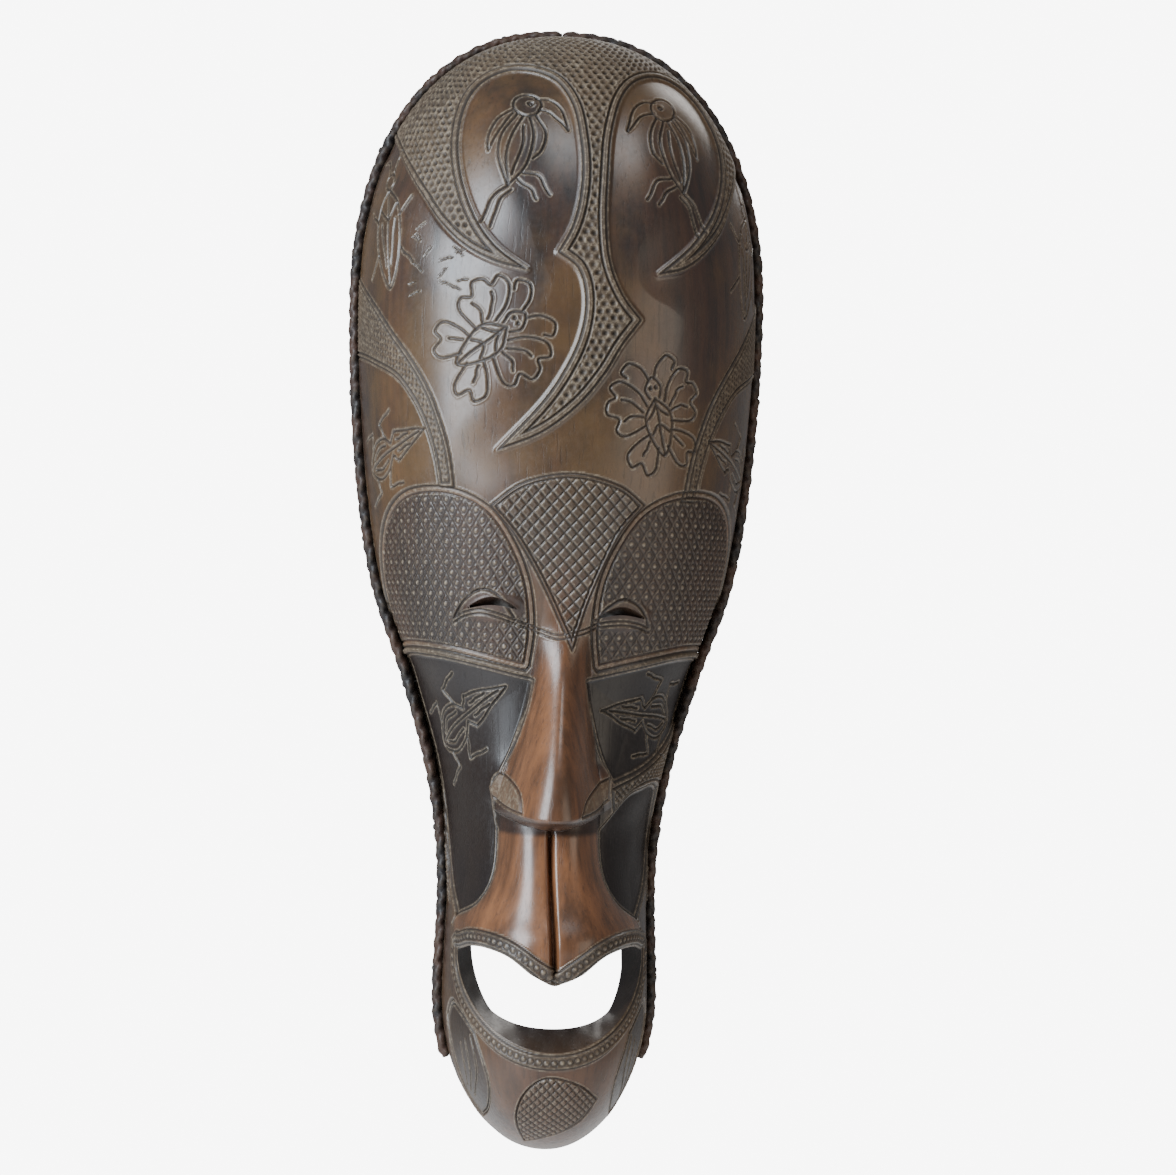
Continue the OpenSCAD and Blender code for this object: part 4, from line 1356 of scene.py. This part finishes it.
class MASK_OT_hollow_back(bpy.types.Operator):
    """Gouge out the hollow behind the face and leave the flat rim and the land for the hanger"""
    bl_idname = "mask.hollow_back"
    bl_label = "Gouge Hollow"

    def execute(self, context):
        wood = carved_wood()
        z, c = wood.z[::COARSE][:, None], wood.c[::COARSE]
        half = inside_half(z)
        x = half * c
        y = hollow_y(c, z)
        y[:, 0] = y[:, -1] = 0
        zi = np.broadcast_to(inside_z(z), x.shape)
        points = np.stack([x, y, zi], 2)
        normals = Wood.normals_of(points)
        u, v = wood.across[::COARSE, ::COARSE], np.broadcast_to(wood.up[::COARSE, None], x.shape)
        gouge_pitch, gouge_half, gouge_stretch = 13.0, 8.0, 0.45
        cut = staggered(u, v * gouge_stretch, gouge_pitch, 21, loose=0.6)[0]
        ripple = np.sin(u / 7 + 3 * np.sin(v / 31)) * 0.25
        scoop = clamp(cut / gouge_half) ** 2
        calm = smooth((depth_at(z) * section(c) - 10) / 12) * smooth((LAND_Z - 4 - zi) / 6)
        hole = wood.hole_distance(back_openings())[::COARSE, ::COARSE]
        calm = calm * smooth(hole / 5)
        relief = carving().gouge_depth / MM * (scoop + ripple) * calm
        points = points + normals * relief[:, :, None]
        rim_x = wood.half[::COARSE] * np.sign(c[[0, -1]])
        rim = np.stack([rim_x, 0 * rim_x, np.broadcast_to(z, rim_x.shape)], 2)
        points = np.concatenate([rim[:, :1], points, rim[:, 1:]], 1)

        def widened(a):
            return np.concatenate([a[:, :1], a, a[:, -1:]], 1)

        edge = widened(clamp(scoop - 0.35) * calm)
        stain = widened(bell(hole, 9.0) * 0.8 + 0.9 * smooth((6 + y) / 6))
        marks = {"edge": edge, "black": clamp(stain)}
        bm = sheet_of(to_metres(points), marks, flip=True)
        gap = widened(hole).reshape(-1)
        open_holes(bm, gap, self.front_place, back_openings(), self.back_point)
        bmesh.ops.remove_doubles(bm, verts=bm.verts, dist=POLE)
        bmesh.ops.delete(bm, geom=[v for v in bm.verts if not v.link_faces], context="VERTS")
        collect("hollow_back", bm, hollow_finish())
        return {"FINISHED"}

    @staticmethod
    def front_place(co):
        z = (co.z - CHIN_Z) / MM
        outside = z
        if z < JAW_Z:
            outside = JAW_Z - (JAW_Z - z) * JAW_Z / (JAW_Z - RIM_W)
        share = co.x / MM / max(float(inside_half(outside)), 1e-6)
        return share * float(half_at(outside)), outside

    @staticmethod
    def back_point(x, z):
        c = x / float(half_at(z))
        return Vector((float(inside_half(z)) * c, float(hollow_y(c, z)),
                       float(inside_z(z)) + CHIN_Z / MM)) * MM


def edge_path(count):
    """Points and outward directions along the block's edge, from the band's foot to the crown."""
    start, split, steps = 48.0, 0.4, 400
    end = math.acos(min(1, (split / 2 / HALF_W) ** (CROWN_FULLNESS / 2)))
    z = np.linspace(start, CROWN_Z, steps)
    a = np.linspace(0, end, steps)[1:]
    sides = np.stack([half_at(z), z], 1)
    crown = np.stack([HALF_W * np.cos(a) ** (2 / CROWN_FULLNESS),
                      CROWN_Z + (BODY_H - CROWN_Z) * np.sin(a) ** (2 / CROWN_FULLNESS)], 1)
    path = np.concatenate([sides, crown])
    run = Wood.run(path[:, 0], path[:, 1])
    s = np.linspace(0, run[-1], count)
    p = np.stack([np.interp(s, run, path[:, k]) for k in (0, 1)], 1)
    along = np.gradient(p, axis=0)
    along /= np.linalg.norm(along, axis=1, keepdims=True)
    return s, p, np.stack([along[:, 1], -along[:, 0]], 1)


class MASK_OT_edge_bands(bpy.types.Operator):
    """Twist the strip round the edge, one half on each side"""
    bl_idname = "mask.edge_bands"
    bl_label = "Twist Edge Bands"

    def execute(self, context):
        material = band_finish()
        rings, around = 560, 22
        twist, nick_pitch, stand_off, middle_y = 9.5, 5.2, 2.3, -6.1
        thick, wide = shape().band_thickness / MM / 2, shape().band_width / MM / 2
        for side, name in ((-1, "rim_band_left"), (1, "rim_band_right")):
            rng = np.random.default_rng(40 + side)
            run, p, out = edge_path(rings)
            a = np.linspace(0, 2 * math.pi, around + 1)[None, :]
            s = run[:, None]
            phase = rng.uniform(0, 6) + 0.6 * np.sin(s / 37)
            lump = np.abs(np.sin(a + s * math.pi / twist + phase)) ** 0.8
            nick = np.sin(s * 2 * math.pi / nick_pitch + 1.7 * np.sin(a * 2) + phase)
            wild = np.sin(s / 3.1 + a * 3) * 0.5 + np.sin(s / 1.7 - a * 2 + 1) * 0.5
            size = 0.74 + 0.24 * lump + 0.05 * nick + 0.035 * wild
            fade = smooth(s / 3) * 0.35 + 0.65
            fade = fade * (0.7 + 0.3 * smooth((run[-1] - s) / 2.5))
            off = stand_off + 0.15 * np.sin(s / 21)
            r = off + thick * size * fade * np.cos(a)
            y = middle_y + wide * size * fade * np.sin(a)
            x = side * (p[:, :1] + out[:, :1] * r)
            z = p[:, 1:] + out[:, 1:] * r
            points = np.stack([x, np.minimum(y, -0.7), z], 2)
            high = clamp((size - 0.86) / 0.16)
            bm = sheet_of(to_metres(points), {"edge": high}, flip=side < 0)
            bmesh.ops.remove_doubles(bm, verts=bm.verts, dist=SAME_PLACE)
            bmesh.ops.holes_fill(bm, edges=[e for e in bm.edges if e.is_boundary], sides=0)
            bmesh.ops.recalc_face_normals(bm, faces=bm.faces)
            collect(name + "_twisted", bm, material, node=name)
        return {"FINISHED"}


# One tack from its domed head to its point, as (radius, height)
TACK = [(0, 1.0), (0.8, 0.9), (1.5, 0.55), (1.85, 0.0), (1.7, -0.35), (0.7, -0.5), (0.6, -7.5),
        (0.25, -8.6), (0, -9.0)]


class MASK_OT_fixings(bpy.types.Operator):
    """Finish the tacks, the hanger strap, its ring and its screws"""
    bl_idname = "mask.fixings"
    bl_label = "Finish Fixings"

    def execute(self, context):
        steel = metal_finish("dulled zinc", (0.52, 0.51, 0.49), (0.30, 0.29, 0.27), 1.0, 0.32)
        black = metal_finish("blackened tack", (0.09, 0.085, 0.08), (0.04, 0.03, 0.025), 0.8, 0.42)
        for node, material in (("rim_tacks", black), ("hanger_strap", steel), ("hanger_ring", steel),
                               ("hanger_screws", steel)):
            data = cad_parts[node].data
            data.materials.clear()
            data.materials.append(material)
        self.tacks(black)
        return {"FINISHED"}

    def tacks(self, material):
        """Small hammered tacks whose heads lie on the twisted strip, where the plain ones stand."""
        plain = bmesh.new()
        plain.from_mesh(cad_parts["rim_tacks"].data)
        bmesh.ops.remove_doubles(plain, verts=plain.verts, dist=SAME_PLACE * 10)
        p, out = edge_path(2000)[1:]
        head_off, sides = 4.9, 12
        bm = bmesh.new()
        rng = np.random.default_rng(50)
        for middle in islands(plain):
            side = 1 if middle.x > 0 else -1
            x, z = abs(middle.x) / MM, (middle.z - CHIN_Z) / MM
            k = int(np.argmin((p[:, 0] - x) ** 2 + (p[:, 1] - z) ** 2))
            away = Vector((side * out[k, 0], 0, out[k, 1]))
            seat = Vector((side * p[k, 0], middle.y / MM, p[k, 1] + CHIN_Z / MM)) + away * head_off
            turned = away.to_track_quat("Z", "Y").to_matrix()
            rings = []
            for r, h in TACK:
                r *= rng.uniform(0.94, 1.04)
                rings.append([bm.verts.new((seat + turned @ Vector((r * math.cos(a), r * math.sin(a), h))) * MM)
                              for a in np.linspace(0, 2 * math.pi, sides + 1)[:-1]])
            for low, high in zip(rings, rings[1:]):
                for a in range(sides):
                    bm.faces.new((low[a], low[a - 1], high[a - 1], high[a]))
        plain.free()
        bmesh.ops.remove_doubles(bm, verts=bm.verts, dist=SAME_PLACE)
        bmesh.ops.recalc_face_normals(bm, faces=bm.faces)
        collect("rim_tacks_hammered", bm, material, node="rim_tacks")


def islands(bm):
    """The middle of each loose part of a mesh."""
    seen, middles = set(), []
    for v in bm.verts:
        if v in seen:
            continue
        part, front = [], [v]
        seen.add(v)
        while front:
            here = front.pop()
            part.append(here.co)
            for e in here.link_edges:
                far = e.other_vert(here)
                if far not in seen:
                    seen.add(far)
                    front.append(far)
        middles.append((Vector([min(c[k] for c in part) for k in range(3)])
                        + Vector([max(c[k] for c in part) for k in range(3)])) / 2)
    return middles


class MASK_OT_studio(bpy.types.Operator):
    """Set up the camera, the soft lights, the pale floor and the surroundings"""
    bl_idname = "mask.studio"
    bl_label = "Set Up Studio"

    def execute(self, context):
        scene = context.scene
        s = scene.mask_studio
        middle = Vector((0, -0.03, CHIN_Z + 0.3008))
        slide, roll = 0.0178, math.radians(1.1)
        right = Vector((math.cos(s.turn), -math.sin(s.turn), 0))
        ahead = Vector((math.sin(s.turn), math.cos(s.turn), 0))
        camera = bpy.data.objects.new("camera", bpy.data.cameras.new("camera"))
        camera.data.lens = 85
        camera.data.sensor_width = 36
        camera.data.clip_end = 20
        camera.location = middle + right * slide - ahead * s.distance
        camera.rotation_euler = (Matrix.Rotation(-s.turn, 3, "Z") @ Matrix.Rotation(math.pi / 2, 3, "X")
                                 @ Matrix.Rotation(roll, 3, "Z")).to_euler()
        scene.collection.objects.link(camera)
        scene.camera = camera
        floor_half, floor_drop = 2.1, 0.55
        bm = bmesh.new()
        bmesh.ops.create_grid(bm, x_segments=2, y_segments=2, size=floor_half)
        mesh = bpy.data.meshes.new("floor")
        bm.to_mesh(mesh)
        bm.free()
        material, n, shader = new_material("pale floor")
        colour = n.mix(n.noise(n.mapped(), 5.0), (0.80, 0.80, 0.79, 1), (0.84, 0.84, 0.83, 1))
        n.set(shader.inputs["Base Color"], colour)
        n.set(shader.inputs["Roughness"], 0.8)
        n.set(shader.inputs["Emission Color"], (1, 1, 1, 1))
        n.set(shader.inputs["Emission Strength"], 0.25)
        mesh.materials.append(material)
        floor = bpy.data.objects.new("floor", mesh)
        floor.location = (0, 0, CHIN_Z - floor_drop)
        scene.collection.objects.link(floor)
        for name, place, wide, tall, power, colour in (
                ("window", (-1.6, -1.15, 0.85), 1.3, 1.7, s.key_power, (0.84, 0.92, 1.0)),
                ("fill", (1.5, -1.3, 0.2), 1.4, 1.4, s.fill_power, (1.0, 0.88, 0.72)),
                ("top", (0.4, -1.0, 2.0), 0.9, 0.6, s.fill_power, (0.92, 0.96, 1.0)),
                ("back", (0.5, 1.7, 1.7), 1.4, 1.4, s.fill_power * 2, (1.0, 0.97, 0.93))):
            self.light(name, Vector(place) + Vector((0, 0, CHIN_Z)), wide, tall, power, colour, middle)
        world = bpy.data.worlds.new("pale studio")
        world.use_nodes = True
        n = Nodes(world.node_tree)
        sky = world.node_tree.nodes["Background"]
        n.set(sky.inputs["Color"], (1, 1, 1, 1))
        seen = n.add("ShaderNodeLightPath").outputs["Is Camera Ray"]
        lighting, behind = 0.15, 8.0
        n.set(sky.inputs["Strength"], n.spread(seen, 0, 1, lighting, behind))
        scene.world = world
        return {"FINISHED"}

    def light(self, name, place, wide, tall, power, colour, aim):
        """One soft box that looks at the middle of the mask."""
        data = bpy.data.lights.new(name, "AREA")
        data.shape = "RECTANGLE"
        data.size, data.size_y = wide, tall
        data.energy = power
        data.color = colour
        lamp = bpy.data.objects.new(name, data)
        lamp.location = place
        lamp.rotation_euler = (place - aim).to_track_quat("Z", "Y").to_euler()
        bpy.context.scene.collection.objects.link(lamp)


STEPS = ("studio", "carved_face", "openings", "hollow_back", "edge_bands", "fixings")


class MASK_PT_maker(bpy.types.Panel):
    bl_label = "Carved Mask"
    bl_idname = "MASK_PT_maker"
    bl_space_type = "VIEW_3D"
    bl_region_type = "UI"
    bl_category = "Mask"

    def draw(self, context):
        for step in STEPS:
            self.layout.operator("mask." + step)
        for group in ("mask_shape", "mask_carving", "mask_finish", "mask_studio"):
            settings = getattr(context.scene, group)
            box = self.layout.box()
            for key in settings.bl_rna.properties.keys():
                if key not in ("rna_type", "name"):
                    box.prop(settings, key)


CLASSES = (MaskShape, MaskCarving, MaskFinish, MaskStudio, MASK_OT_carved_face, MASK_OT_openings,
           MASK_OT_hollow_back, MASK_OT_edge_bands, MASK_OT_fixings, MASK_OT_studio, MASK_PT_maker)
GROUPS = {"mask_shape": MaskShape, "mask_carving": MaskCarving, "mask_finish": MaskFinish,
          "mask_studio": MaskStudio}


def register():
    for cls in CLASSES:
        bpy.utils.register_class(cls)
    for name, cls in GROUPS.items():
        setattr(bpy.types.Scene, name, bpy.props.PointerProperty(type=cls))


def unregister():
    for name in GROUPS:
        delattr(bpy.types.Scene, name)
    for cls in reversed(CLASSES):
        bpy.utils.unregister_class(cls)


def main():
    register()
    for step in STEPS:
        getattr(bpy.ops.mask, step)()


if __name__ == "__main__":
    main()
